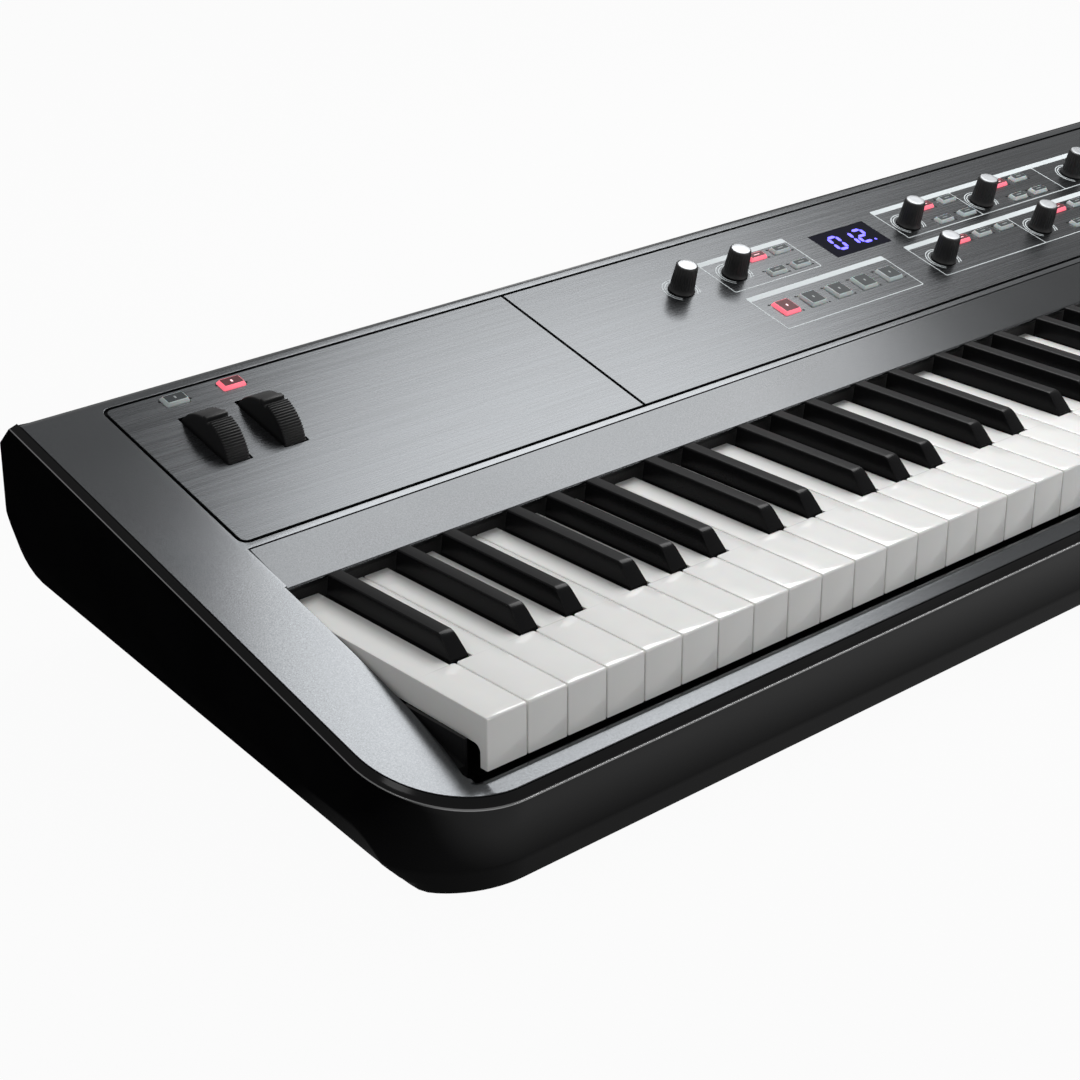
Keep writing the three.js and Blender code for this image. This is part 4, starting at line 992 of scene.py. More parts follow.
def panel_cut_outs():
    """The outlines of all cut-outs, for the wheel panel and for the control panel."""
    wheel = [wheel_slot(n) for n in WHEELS]
    wheel += [(*transposer_middle(n), *TRANSPOSE_SIZE) for n in TRANSPOSERS]
    control = [(x, up, *SMALL_SIZE) for x, up, _ in small_places()]
    control += [(*panel_middle(n), *SELECTOR_SIZE) for n in SELECTORS]
    wheel = [rectangle_at(*place, radius=CUT_ROUND) for place in wheel]
    control = [rectangle_at(*place, radius=CUT_ROUND) for place in control]
    control += [arc(*panel_middle(n), KNOB_HOLE / 2, 0, 345, 23) for n in KNOBS]
    low, high = panel_box("display_window")
    display = (low[0] - FIT, high[0] + FIT, low[1] - FIT, high[1] + FIT)
    return wheel, [*control, rounded_rectangle(*display, DISPLAY_ROUND, 2)]


def fallboard_shell():
    """The fallboard: a section with round upper edges and a fall to the front, carried along the keys."""
    low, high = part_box("fallboard")
    start, back = up_slope(low.y), up_slope(high.y)
    front_round, rear_round = FALLBOARD_ROUND, FALLBOARD_REAR_ROUND
    corners = [
        arc(start + front_round, -front_round, front_round, 180, 90, 6),
        arc(back - rear_round, -rear_round, rear_round, 90, 0, 5),
        [(back, -COVER_SHEET), (start, -COVER_SHEET)],
    ]
    y, z = np.concatenate(corners).T
    upper = np.arange(len(y)) < len(y) - 2
    z = z - (FALLBOARD_SINK + (back - y) * FALLBOARD_LEAN) * upper
    bevel, fall = FALLBOARD_END
    rings = []
    for x, drop in ((FIT, fall), (bevel, 0), (KEYS_WIDTH - bevel, 0), (KEYS_WIDTH - FIT, fall)):
        rings.append(np.column_stack([np.full(len(y), x), y, z - drop * (z > -FALLBOARD_EDGE)]))
    return skin(np.array(rings))


class PIANO_OT_cover(bpy.types.Operator):
    """Sheet cover with its rounded rear edge, the black sheet of painted shade under the panels, and the
    fallboard
    """

    bl_idname = "piano.cover"
    bl_label = "Cover and fallboard"

    def execute(self, context):
        sizes, colours = context.scene.piano_sizes, context.scene.piano_finishes
        silver = metallic_paint("metallic_paint_on_steel", colours.cover_paint)
        # the fallboard's paint is a darker copy of the cover's: painted shade for its forward fall
        grey = metallic_paint("metallic_paint_on_abs", scaled(colours.cover_paint, FALLBOARD_SHADE_SHARE))
        bed, under = (
            rounded_rectangle(PANEL_END - edge, PANEL_RIGHT + edge, -edge, PANEL_LENGTH + edge, radius)
            for edge, radius in ((GROOVE, PANEL_CORNER + GROOVE), (GROOVE + FIT, PANEL_CORNER))
        )
        loops = [on_slope(cover_outline(sizes)), on_slope(well_outline()), bed]
        sheet = filled_outline(loops, -COVER_SHEET, 0, sizes.sheet_round)
        bend_rear(sheet, sizes)
        roll_front(sheet, sizes)
        piece("cover_sheet", sheet, silver, "case", TO_ROW, 40, ["top_cover"], flat=True)
        wheel, control = panel_cut_outs()
        # the sheet under the panels is black as painted shade, showing through the grooves and cut-outs
        top = -COVER_BACKING - BACKING_GAP
        backing = filled_outline([under, *wheel, *control], -COVER_SHEET - FIT, top)
        piece("panel_bed", backing, painted_shade_black(colours), "case", TO_ROW)
        strip = fallboard_shell()
        piece("fallboard_strip", strip, grey, "case", TO_ROW, 30, ["fallboard"], flat=True)
        return {"FINISHED"}


class PIANO_OT_panels(bpy.types.Operator):
    """The two brushed panels with their cut-outs"""

    bl_idname = "piano.panels"
    bl_label = "Panels"

    def execute(self, context):
        metal = brushed_aluminium(context.scene.piano_finishes)
        wheel, control = panel_cut_outs()
        left = panel_outline(PANEL_END + GROOVE, PANEL_SPLIT - GROOVE, GROOVE, round_right=False)
        right = panel_outline(PANEL_SPLIT + GROOVE, PANEL_RIGHT - GROOVE, GROOVE, round_left=False)
        for name, loops in (("wheel_panel", [left, *wheel]), ("control_panel", [right, *control])):
            plate = filled_outline(loops, -PANEL_SHEET, 0, PLATE_ROUND)
            piece(f"{name}_sheet", plate, metal, "case", TO_ROW, 30, [name], flat=True)
        return {"FINISHED"}


# Keys

LIP = 4.6 * MM
LIP_WALL = 7.0 * MM  # upright inner side of the lip under its fillet
LIP_FILLET_DEPTH = 4.0 * MM
LIP_FILLET_HEIGHT = 11.0 * MM
KEY_GAP = 0.8 * MM  # the slit between two naturals
NATURAL_FRONT = 25.9 * MM
NATURAL_TOP = 146.0 * MM
NOTCH_START = 48.8 * MM
NOTCH_WIDTH = 13.2 * MM
NOTCH_ROUND = 1.0 * MM
SHARP_EDGE_SHARE = 0.09  # the largest rounding of a sharp's upper edges, over its height
BEAM_BOTTOM = 12.5 * MM
SHARP_START = 50.0 * MM
SHARP_SLOPE = 8.4 * MM
SHARP_HEIGHT = 10.5 * MM
SHARP_SOFT = 3.0 * MM  # height over which the sloping front runs into the top
# Rings along a sharp's front, in lengths of its slope: close together where it runs into the top
SHARP_RINGS = np.concatenate([np.linspace(0, 0.45, 4), np.linspace(0.52, 1.52, 16)])
SHARP_FLAT = 30.0 * MM  # place of one more ring on the flat top
SHARP_CREASE = 0.01 * MM  # depth of the points that hold the fold, under the narrowing sides' foot
SHARP_FOOT = 0.8 * MM
SHARP_TOP = 8.0 * MM
SHARP_BASE = 10.6 * MM
SHARP_END = 141.4 * MM
SHARP_DEPTH = 8.0 * MM
SHARP_RISE_START = 160.0 * MM
SHARP_RISE = 4.0 * MM
HEEL_START = 203.0 * MM
NATURAL_WEB = (190 * MM, 194 * MM, 3 * MM)  # front, back and height
SHARP_WEB = (197 * MM, 201 * MM, 2.7 * MM)
THIRD, FOURTH = 3 * PITCH / 5, 4 * PITCH / 7
SHARP_MIDDLES = [1.5 * THIRD, 3.5 * THIRD] + [3 * PITCH + n * FOURTH for n in (1.5, 3.5, 5.5)]
LEFT_SHARP = [None, 0, 1, None, 2, 3, 4, None]  # the sharp at each natural's left side, up to the last C
RIGHT_SHARP = [0, 1, None, 2, 3, 4, None, None]
JUMP = 0.05 * MM  # how close two rings stand where a key's section changes at once
FRONT_DRAW = 0.35 * MM  # how far the sides of a natural's front draw in at its upper edge
LOWEST_KEY = (0, 5)  # octave and step of the first natural, which has no sharp at its left
KEY_SHARP = 40  # degrees from which a key's edges look sharp
COMBS = range(2, 8)  # octaves whose keys are joined


def natural_shell(octave, step, sizes):
    """A natural: rounded rectangles along Y, between its plan, its round-edged top and its hollow lip.

    The roundings of its upper edges, its notches and the fillet in its lip are quarter circles.
    """
    start = octave_start(octave)
    left_sharp = None if (octave, step) == LOWEST_KEY else LEFT_SHARP[step]
    right_sharp = RIGHT_SHARP[step]
    left, right = start + step * PITCH + KEY_GAP / 2, start + (step + 1) * PITCH - KEY_GAP / 2
    r, quarter = sizes.key_front_round, np.linspace(0, math.pi / 2, 6)
    fillet_turn, notch_turn = np.linspace(0, math.pi / 2, 7), np.linspace(0, math.pi / 2, 4)
    y = np.concatenate([
        r * (1 - np.cos(quarter)),
        [LIP],
        LIP + JUMP + LIP_FILLET_DEPTH * (1 - np.cos(fillet_turn)),
        NOTCH_START - NOTCH_ROUND + NOTCH_ROUND * np.sin(notch_turn),
        [NOTCH_START + JUMP, NATURAL_TOP, NATURAL_TOP + JUMP, BEAM_LENGTH],
    ])
    top = np.zeros(len(y))
    top[:6] = -r * (1 - np.sin(quarter))
    top[-2:] = -BEAM_TOP
    fillet = np.clip(y - LIP, 0, LIP_FILLET_DEPTH)
    round_share = np.sqrt(np.maximum(1 - (1 - fillet / LIP_FILLET_DEPTH) ** 2, 0))
    rise = np.where(fillet > 0, LIP_WALL + round_share * (LIP_FILLET_HEIGHT - LIP_WALL), 0)
    back = np.clip((y - LIP - LIP_FILLET_DEPTH) / (BEAM_LENGTH - LIP - LIP_FILLET_DEPTH), 0, 1)
    low = rise - NATURAL_FRONT + (NATURAL_FRONT - LIP_FILLET_HEIGHT - BEAM_BOTTOM) * back
    sides = []
    for side, sharp, sign in ((left, left_sharp, 1), (right, right_sharp, -1)):
        x = np.full(len(y), side)
        x[:6] += sign * FRONT_DRAW * (1 - np.sin(quarter))
        if sharp is not None:
            x[-8:-4] += sign * NOTCH_ROUND * (1 - np.cos(notch_turn))
            x[-4:] = start + SHARP_MIDDLES[sharp] + sign * NOTCH_WIDTH / 2
        sides.append(x)
    edge, turn = sizes.key_round, np.linspace(0, math.pi / 2, 4)
    across = np.concatenate([[0, 0], -edge * (1 - np.cos(turn)), edge * (1 - np.sin(turn))])
    up = np.concatenate([[0, 0], -edge * (1 - np.sin(turn)), -edge * (1 - np.cos(turn))])
    is_right = np.array([0, 1] + [1] * 4 + [0] * 4)
    is_top = np.array([0, 0] + [1] * 8)
    x = sides[0][:, None] * (1 - is_right) + sides[1][:, None] * is_right + across
    z = low[:, None] * (1 - is_top) + top[:, None] * is_top + up
    return skin(np.stack([x, np.broadcast_to(y[:, None], x.shape), z], axis=-1))


def sharp_shell(octave, step, sizes):
    """A sharp: rounded trapezia along Y under a front that slopes softly into the flat top, and its beam.

    The height is the front's line and the top's level, mixed by a share that follows their distance, less a
    parabola of the share.
    """
    front = SHARP_START + SHARP_SLOPE * SHARP_RINGS
    y = np.concatenate([front, [SHARP_START + SHARP_FLAT, SHARP_END - JUMP]])
    line = SHARP_FOOT + (y - SHARP_START) * (SHARP_HEIGHT - SHARP_FOOT) / SHARP_SLOPE
    share = np.clip(0.5 + (SHARP_HEIGHT - line) / (2 * SHARP_SOFT), 0, 1)
    top = line * share + SHARP_HEIGHT * (1 - share) - SHARP_SOFT * share * (1 - share)
    low = np.concatenate([np.full(len(y) + 4, -SHARP_DEPTH), np.full(2, -BEAM_BOTTOM)])
    rise, heel = SHARP_RISE_START, HEEL_START
    y = np.concatenate([y, [SHARP_END, rise, rise + JUMP, heel, heel + JUMP, BEAM_LENGTH]])
    top = np.concatenate([top, [-BEAM_TOP] * 2, [SHARP_RISE - BEAM_TOP] * 4])

    edge = np.minimum(sizes.sharp_round, (top + SHARP_DEPTH) * SHARP_EDGE_SHARE)
    shoulder = top - edge
    narrow = np.clip((shoulder - SHARP_FOOT) / (SHARP_HEIGHT - SHARP_FOOT), 0, 1)
    half = (SHARP_BASE + (SHARP_TOP - SHARP_BASE) * narrow) / 2
    turn = np.linspace(0, math.pi / 2, 5)
    right_x = half[:, None] - edge[:, None] * (1 - np.cos(turn))
    right_z = shoulder[:, None] + edge[:, None] * np.sin(turn)
    waist = np.minimum(shoulder, SHARP_FOOT)[:, None] - SHARP_CREASE
    base = np.full_like(waist, SHARP_BASE / 2)
    foot = low[:, None]
    x = np.concatenate([-base, base, base, right_x, -right_x[:, ::-1], -base], axis=1)
    z = np.concatenate([foot, foot, waist, right_z, right_z[:, ::-1], waist], axis=1)
    x += octave_start(octave) + SHARP_MIDDLES[step]
    return skin(np.stack([x, np.broadcast_to(y[:, None], x.shape), z], axis=-1))


def natural_web(octave, count):
    """The bar that joins an octave's naturals under their beams."""
    front, back, high = NATURAL_WEB
    left, right = octave_start(octave) + KEY_PLAY / 2, octave_start(octave) + count * PITCH - KEY_PLAY / 2
    return box_shell((left, front, -BEAM_BOTTOM), (right, back, -BEAM_BOTTOM + high))


def sharp_web(octave, count):
    """The bar that joins an octave's sharps in their raised heels."""
    front, back, high = SHARP_WEB
    top, half = SHARP_RISE - BEAM_TOP, SHARP_BASE / 2
    left = octave_start(octave) + SHARP_MIDDLES[0] - half
    right = octave_start(octave) + SHARP_MIDDLES[count - 1] + half
    return box_shell((left, front, top - high), (right, back, top))


def add_keys(kind, node, shell, web, singles, count, material, sizes):
    """Adds one kind of keys: single ones, then a comb for each octave; the last one has the last C too."""
    place = Matrix.Translation((KEYS_LEFT, KEYS_FRONT, KEY_TOP))
    for octave, step, letter in singles:
        key = node.format(letter, octave)
        made = shell(octave, step, sizes)
        piece(f"{kind}_{letter}{octave}", made, material, key, place, KEY_SHARP, [key])
    for octave in COMBS:
        steps = count + (kind == "natural" and octave == COMBS[-1])
        shells = [shell(octave, step, sizes) for step in range(steps)]
        comb = f"{kind}s_octave_{octave}"
        joined = gathered([*shells, web(octave, steps)])
        piece(f"{kind}s_{octave}", joined, material, comb, place, KEY_SHARP, [comb])


def octave_start(octave):
    """Where an octave's C begins along the keyboard; octave 0 holds only the lowest three keys."""
    return (2 + 7 * (octave - 1)) * PITCH


class PIANO_OT_naturals(bpy.types.Operator):
    """The 52 naturals, single in the lowest two groups and one comb in each octave above"""

    bl_idname = "piano.naturals"
    bl_label = "Naturals"

    def execute(self, context):
        white = polished_white(context.scene.piano_finishes)
        singles = [(*LOWEST_KEY, "a"), (0, 6, "b"), *((1, *pair) for pair in enumerate("cdefgab"))]
        sizes = context.scene.piano_sizes
        add_keys("natural", "key_{}{}", natural_shell, natural_web, singles, 7, white, sizes)
        return {"FINISHED"}


class PIANO_OT_sharps(bpy.types.Operator):
    """The 36 sharps, single in the lowest two groups and one comb in each octave above"""

    bl_idname = "piano.sharps"
    bl_label = "Sharps"

    def execute(self, context):
        black = satin_sharp(context.scene.piano_finishes)
        singles = [(0, 4, "a"), *((1, *pair) for pair in enumerate("cdfga"))]
        sizes = context.scene.piano_sizes
        add_keys("sharp", "key_{}_sharp_{}", sharp_shell, sharp_web, singles, 5, black, sizes)
        return {"FINISHED"}


# Wheels, buttons and knobs

WHEEL_ROUND = 0.8 * MM
WHEEL_BORE = 3.4 * MM
WHEEL_SIDE = 3.2 * MM  # how far the plain side reaches down from the rim
WHEEL_STEPS = 900
RIB_START = 2.6 * MM  # along the rim, in front of the wheel's top
RIB_END = 1.35  # radians in front of the top
RIB_SPAN = 1.32  # radians that the ribs share
RIB_DEPTH = 0.65 * MM
RIB_FLANKS = (1.6, 0.1)  # what squares the ribs' wave: it is stretched, lowered and cut off
FINGER_GROOVE = (1.3 * MM, 1.3 * MM, 2.4 * MM)  # its middle in front of the top, half width and depth
RIDGE_REAR = 3.6 * MM  # where the ridge ends behind the top, how steeply, and how far it falls
RIDGE_EDGE = 0.15 * MM
RIDGE_FALL = 1.0 * MM
HIDDEN_TURN = 2.4  # radians from the top where the rim's underside starts
SLOT_FRAME = (9 * MM, 0.35 * MM)  # how deep it reaches, and how far under the sheet it starts
SLOT_FRAME_PLAY = (0.05 * MM, 1.0 * MM)  # its inner edge inside the slot's, and its outer edge outside
SLOT_FRAME_ROUND = (0.5 * MM, 0.6 * MM)


def wheel_relief(angle, radius, ribs):
    """A wheel's relief by angle from its top, rearwards positive: ribs, a groove, a ridge and a fall.

    The ribs are a cosine wave, cut off. The groove is e to the minus sixth power of the distance from its
    middle over its half width. The fall behind the ridge is a logistic step.
    """
    arc_length = angle * radius
    ribbed = (arc_length < -RIB_START) & (angle > -RIB_END)
    wave = 0.5 - 0.5 * np.cos(angle / RIB_SPAN * ribs * 2 * math.pi)
    stretch, fall = RIB_FLANKS
    relief = np.where(ribbed, -RIB_DEPTH * np.clip(stretch * wave - fall, 0, 1), 0.0)
    middle, half, depth = FINGER_GROOVE
    relief -= depth * np.exp(-(((arc_length + middle) / half) ** 6))
    behind = 1 / (1 + np.exp(-(arc_length - RIDGE_REAR) / RIDGE_EDGE))
    return relief - RIDGE_FALL * behind * (np.abs(angle) < HIDDEN_TURN)


def wheel_shell(node, ribs):
    """A wheel: a section with round edges turned about its axle, its outer points moved by the relief."""
    low, high = panel_box(node)
    middle, up = panel_middle(node)
    half, radius = (high[0] - low[0]) / 2, (high[1] - low[1]) / 2
    bend = np.linspace(0, math.pi / 2, 4)
    x = np.concatenate([[-half, -half], -half + WHEEL_ROUND * (1 - np.cos(bend))])
    r = np.concatenate([[WHEEL_BORE, radius - WHEEL_SIDE], radius - WHEEL_ROUND * (1 - np.sin(bend))])
    x, r = np.concatenate([x, -x[::-1]]), np.concatenate([r, r[::-1]])
    angle = np.linspace(-math.pi, math.pi, WHEEL_STEPS, endpoint=False)
    reach = r + wheel_relief(angle, radius, ribs)[:, None] * (r > radius - WHEEL_SIDE)
    turn = angle[:, None]
    rings = [
        np.broadcast_to(middle + x, reach.shape), up + reach * np.sin(turn),
        high[2] - radius + reach * np.cos(turn),
    ]
    return skin(np.stack(rings, axis=-1), True)


class PIANO_OT_wheels(bpy.types.Operator):
    """Pitch and modulation wheels with ribs and finger groove, and the black frames of painted shade in their
    slots
    """

    bl_idname = "piano.wheels"
    bl_label = "Wheels"

    def execute(self, context):
        colours = context.scene.piano_finishes
        black, painted_pit_shade = moulded_black(colours), painted_shade_black(colours)
        (inner, outer), (inner_round, outer_round) = SLOT_FRAME_PLAY, SLOT_FRAME_ROUND
        depth, gap = SLOT_FRAME
        for node in WHEELS:
            shell = wheel_shell(node, colours.wheel_ribs)
            piece(f"{node}_rim", shell, black, node, TO_ROW, 28, [node])
            slot = wheel_slot(node)
            loops = [rectangle_at(*slot, outer, outer_round), rectangle_at(*slot, -inner, inner_round)]
            # the slot's frame is black as painted shade inside the slot
            border = filled_outline(loops, -depth, -PANEL_SHEET - gap)
            name = node.replace("wheel", "slot_frame")
            piece(name, border, painted_pit_shade, "case", TO_ROW)
        return {"FINISHED"}


BUTTON_HEIGHT = 2.0 * MM
SKIRT_TAPER = 0.95 * MM
BUTTON_DEPTH = 3.6 * MM
SKIRT_LEVELS = [  # height, and how far the skirt has drawn in there
    (-BUTTON_DEPTH, 0), (0.25 * MM, 0), (0.45 * MM, 0.12 * MM),
    (BUTTON_HEIGHT - 0.35 * MM, SKIRT_TAPER * 0.8), (BUTTON_HEIGHT - 0.1 * MM, SKIRT_TAPER * 0.95),
    (BUTTON_HEIGHT, SKIRT_TAPER * 1.15),
]
SKIRT_ROUND = 0.9 * MM
INSET_MARGIN = 0.25 * MM
INSET_ROUND = 0.5 * MM
INSET_RISE = 0.02 * MM  # the inset above the skirt, and the mark above the inset
MARK_RISE = 0.03 * MM
PRINT_DEPTH = 0.3 * MM
DOT_SIZE = (1.1 * MM, 1.9 * MM)
BAR_SHARE = 0.32  # the small buttons' bar, over their width
BAR_HEIGHT = 0.5 * MM
MARK_ROUND = 0.2 * MM
PIN_RADIUS = 0.75 * MM
PIN_LEVELS = (0.01 * MM, 0.05 * MM)
SELECTOR_PINS = (1.16, 0.95)  # places of the pin holes, over half a button's width and length
TRANSPOSE_PINS = (1.1, 0.45)
SMALL_PINS = (1.13, 0.9)


def skirt_shell(x, up, wide, long):
    """A button's clear skirt: rounded rectangles that draw in by the taper, with a soft upper edge."""
    loops = [rectangle_at(x, up, wide, long, -FIT - draw, SKIRT_ROUND) for _, draw in SKIRT_LEVELS]
    return stacked(loops, [height for height, _ in SKIRT_LEVELS])


def plate_shell(loop, low, high):
    """A thin plate between two heights over a convex outline."""
    return stacked([loop, loop], (low, high))


def button_shells(x, up, wide, long, mark):
    """A button's skirt, its dark inset and its mark, as three shells."""
    inset = rectangle_at(x, up, wide, long, -FIT - SKIRT_TAPER - INSET_MARGIN, INSET_ROUND)
    mark = rectangle_at(x, up, *mark, 0, MARK_ROUND)
    low, top = BUTTON_HEIGHT - PRINT_DEPTH, BUTTON_HEIGHT + INSET_RISE
    plates = plate_shell(inset, low, top), plate_shell(mark, low, top + MARK_RISE)
    return skirt_shell(x, up, wide, long), *plates


def pin_holes(x, up, wide, long, share_x, share_up):
    """Two small round pits at opposite corners of a button: shares of its half sides from its middle. They
    are thin discs on the panel whose black is painted shade.
    """
    across, along = share_x * wide / 2, share_up * long / 2
    loops = [arc(x + s * across, up - s * along, PIN_RADIUS, 0, 330, 11) for s in (-1, 1)]
    return [plate_shell(loop, *PIN_LEVELS) for loop in loops]


class PIANO_OT_buttons(bpy.types.Operator):
    """Selector, transpose and small buttons: clear skirts, dark insets and marks, some lit"""

    bl_idname = "piano.buttons"
    bl_label = "Buttons"

    def execute(self, context):
        colours = context.scene.piano_finishes
        # skirt, inset and mark of a button that is off, and of a lit one, whose red skirt and inset are the
        # lamp's light painted into their colour
        looks = [
            (
                silicone("silicone_clear_grey", colours.skirt_grey, 0.0),
                printed_inset("urethane_ink_dark", colours.inset_dark),
                # the off mark glows faintly though its lamp is off: a painted glow
                lamp_ink("lamp_window_off", scaled(colours.skirt_grey, 0.5), 0.02),
            ),
            (
                silicone("silicone_lit_red", colours.skirt_lit, 0.75),
                printed_inset("urethane_ink_over_lamp", linear("#5A2A2E")),
                lamp_ink("lamp_window_on", linear("#FFC9CF"), 0.7),
            ),
        ]

        def add(name, body, shells, is_lit, nodes):
            skirts, insets, marks = (gathered(parts) for parts in zip(*shells))
            skirt, inset, mark = looks[is_lit]
            piece(f"{name}_skirt", skirts, skirt, body, TO_ROW, 35, nodes)
            piece(f"{name}_inset", insets, inset, body, TO_ROW)
            piece(f"{name}_mark", marks, mark, body, TO_ROW)

        dots = []
        groups = [(SELECTORS, panel_middle, SELECTOR_SIZE, SELECTOR_PINS)]
        groups += [(TRANSPOSERS, transposer_middle, TRANSPOSE_SIZE, TRANSPOSE_PINS)]
        for nodes, middle, size, pins in groups:
            for node in nodes:
                place = (*middle(node), *size)
                shells = [button_shells(*place, DOT_SIZE)]
                add(node.replace("_button", ""), node, shells, node in LIT_LARGE, [node])
                dots += pin_holes(*place, *pins)
        bar = (SMALL_SIZE[0] * BAR_SHARE, BAR_HEIGHT)
        for mat in ("side", "tone"):
            body = f"{mat}_button_mat"
            places = [(x, up) for x, up, of in small_places() if of == mat]
            for is_lit, name in enumerate(("off", "lit")):
                chosen = [p for p in places if (p in LIT_SMALL) == is_lit]
                shells = [button_shells(*p, *SMALL_SIZE, bar) for p in chosen]
                add(f"{mat}_buttons_{name}", body, shells, is_lit, [] if is_lit else [body])
            for place in places:
                dots += pin_holes(*place, *SMALL_SIZE, *SMALL_PINS)
        painted_pit_shade = painted_shade_black(colours)
        # the pin holes' black is painted shade
        piece("button_pin_holes", gathered(dots), painted_pit_shade, "case", TO_ROW)
        return {"FINISHED"}


KNOB_SHAFT = 3.0 * MM
KNOB_WAIST = 0.885  # radii over the base ring's
KNOB_NECK = 0.8
KNOB_FOOT = [  # radius over the base ring's, and height
    (0.97, FIT), (1, 0.7 * MM), (0.95, 1.5 * MM), (KNOB_WAIST * 1.02, 2.6 * MM), (KNOB_WAIST, 3.8 * MM),
]
KNOB_BELLY = 0.55  # height over the knob's, where its radius is halfway between waist and neck
CAP_INSET = 0.8 * MM
CAP_STEPS = 64
CAP_MAP = 20.0 * MM  # width of a cap's UV map
KNOB_SEAT = [  # how far inside the neck's radius and below the top the cap's seat goes
    (0, 1.1 * MM), (0.3 * MM, 0.45 * MM), (0.7 * MM, 0.3 * MM), (CAP_INSET, 0.6 * MM),
]
KNOB_CAP = [  # how far inside the cap's radius and below the top its section goes
    (0.6 * MM, 1.6 * MM), (0, 1.6 * MM), (0, 0.28 * MM), (0.2 * MM, 0.08 * MM), (0.55 * MM, 0),
]
CAP_DISH = [(0.5, 0.02 * MM), (0.1, 0.03 * MM)]  # radius over the cap's, and how far below the top
FLUTE_POINTS = 6
FLUTE_DEPTH = 0.34 * MM
FLUTE_LOW = (2.2 * MM, 2.0 * MM)  # where the flutes start, and the height over which they reach their depth
FLUTE_HIGH = (0.6 * MM, 1.0 * MM)  # where they end below the top, and over which height


def knob_profile(base, height):
    """Half of a knob's section: shaft, base ring, a body that draws in to its neck, and the cap's seat."""
    neck = base * KNOB_NECK
    foot = [(base * share, up) for share, up in KNOB_FOOT]
    belly = ((base * KNOB_WAIST + neck) / 2, height * KNOB_BELLY)
    seat = [(neck - inward, height - down) for inward, down in KNOB_SEAT]
    return [(KNOB_SHAFT, -KNOB_SHAFT), (KNOB_SHAFT, FIT), *foot, belly, *seat]


def cap_profile(disc, height):
    """Half of a cap's section: up its side, over the bevelled edge and across the slightly dished top."""
    edge = [(disc - inward, height - down) for inward, down in KNOB_CAP]
    return edge + [(disc * share, height - down) for share, down in CAP_DISH]


def fluted_rings(profile, flutes, height, x, up):
    """A knob's section turned round its axis, with its flutes.

    They push it in and out by the absolute sine of the angle times half their count, less a half, and the
    push fades at both ends.
    """
    steps = flutes * FLUTE_POINTS
    rings = turned(profile, steps, x, up)
    angle = np.linspace(0, 2 * math.pi, steps, endpoint=False)
    wave = np.abs(np.sin(angle * flutes / 2)) - 0.5
    level = np.array(profile)[:, 1]
    starting = np.clip((level - FLUTE_LOW[0]) / FLUTE_LOW[1], 0, 1)
    ending = np.clip((height - FLUTE_HIGH[0] - level) / FLUTE_HIGH[1], 0, 1)
    push = FLUTE_DEPTH * wave * (starting * ending)[:, None]
    rings[..., 0] += push * np.cos(angle)
    rings[..., 1] += push * np.sin(angle)
    return rings


class PIANO_OT_knobs(bpy.types.Operator):
    """Seven knobs: fluted matt bodies that flare to the panel, and turned metal caps"""

    bl_idname = "piano.knobs"
    bl_label = "Knobs"

    def execute(self, context):
        colours = context.scene.piano_finishes
        black, metal = knob_plastic(colours), spun_cap(colours)
        for node in KNOBS:
            x, up = panel_middle(node)
            low, high = panel_box(node)
            base, height = (high[0] - low[0]) / 2, high[2]
            body = fluted_rings(knob_profile(base, height), colours.flutes, height, x, up)
            piece(f"{node}_body", skin(body), black, node, TO_ROW, 50, [node])
            cap = turned(cap_profile(base * KNOB_NECK - CAP_INSET, height), CAP_STEPS, x, up)
            made = piece(f"{node}_cap", skin(cap), metal, node, None, 30)
            add_plan_map(made.data, x, up)
            made.data.transform(TO_ROW)
        return {"FINISHED"}


def add_plan_map(mesh, x, up):
    """A UV map of a cap: its plan about its middle, scaled down from CAP_MAP."""
    layer = mesh.uv_layers.new(name="turning")
    vertex = np.empty(len(mesh.loops), int)
    mesh.loops.foreach_get("vertex_index", vertex)
    uv = 0.5 + (points_of(mesh)[vertex][:, :2] - np.array([x, up])) / CAP_MAP
    layer.data.foreach_set("uv", uv.ravel())


# Display, prints and sockets


DIGIT_WIDTH = 7.4 * MM
DIGIT_HEIGHT = 13.4 * MM
DIGIT_PITCH = 11.2 * MM
SEGMENT = 2.55 * MM
SEGMENT_GAP = 0.35 * MM
DIGIT_SLANT = 0.12
DIGIT_LEVELS = (-0.35 * MM, -0.13 * MM)
POINT_RADIUS = 0.9 * MM
POINT_PLACE = 1.52  # pitches from the middle to the decimal point
PANE_LEVELS = [(-1.1 * MM, 0), (-0.25 * MM, 0), (-0.15 * MM, 0.12 * MM)]  # height, and how far drawn in
PANE_ROUND = 0.4 * MM
SEGMENTS = {"0": "abcdef", "1": "bc", "2": "abged"}


def segment_outline(letter):
    """One bar of a seven-segment digit: a long hexagon between two of the digit's corners."""
    w, h = DIGIT_WIDTH / 2, DIGIT_HEIGHT / 2
    ends = {
        "a": ((-w, h), (w, h)), "b": ((w, h), (w, 0)), "c": ((w, 0), (w, -h)), "d": ((-w, -h), (w, -h)),
        "e": ((-w, 0), (-w, -h)), "f": ((-w, h), (-w, 0)), "g": ((-w, 0), (w, 0)),
    }
    start, end = np.array(ends[letter])
    along = (end - start) / np.linalg.norm(end - start)
    side = np.array([-along[1], along[0]])
    a, b = start + along * SEGMENT_GAP, end - along * SEGMENT_GAP
    inner, outer = (along - side) * SEGMENT / 2, (along + side) * SEGMENT / 2
    return np.array([a, a + inner, b - outer, b, b - inner, a + outer])


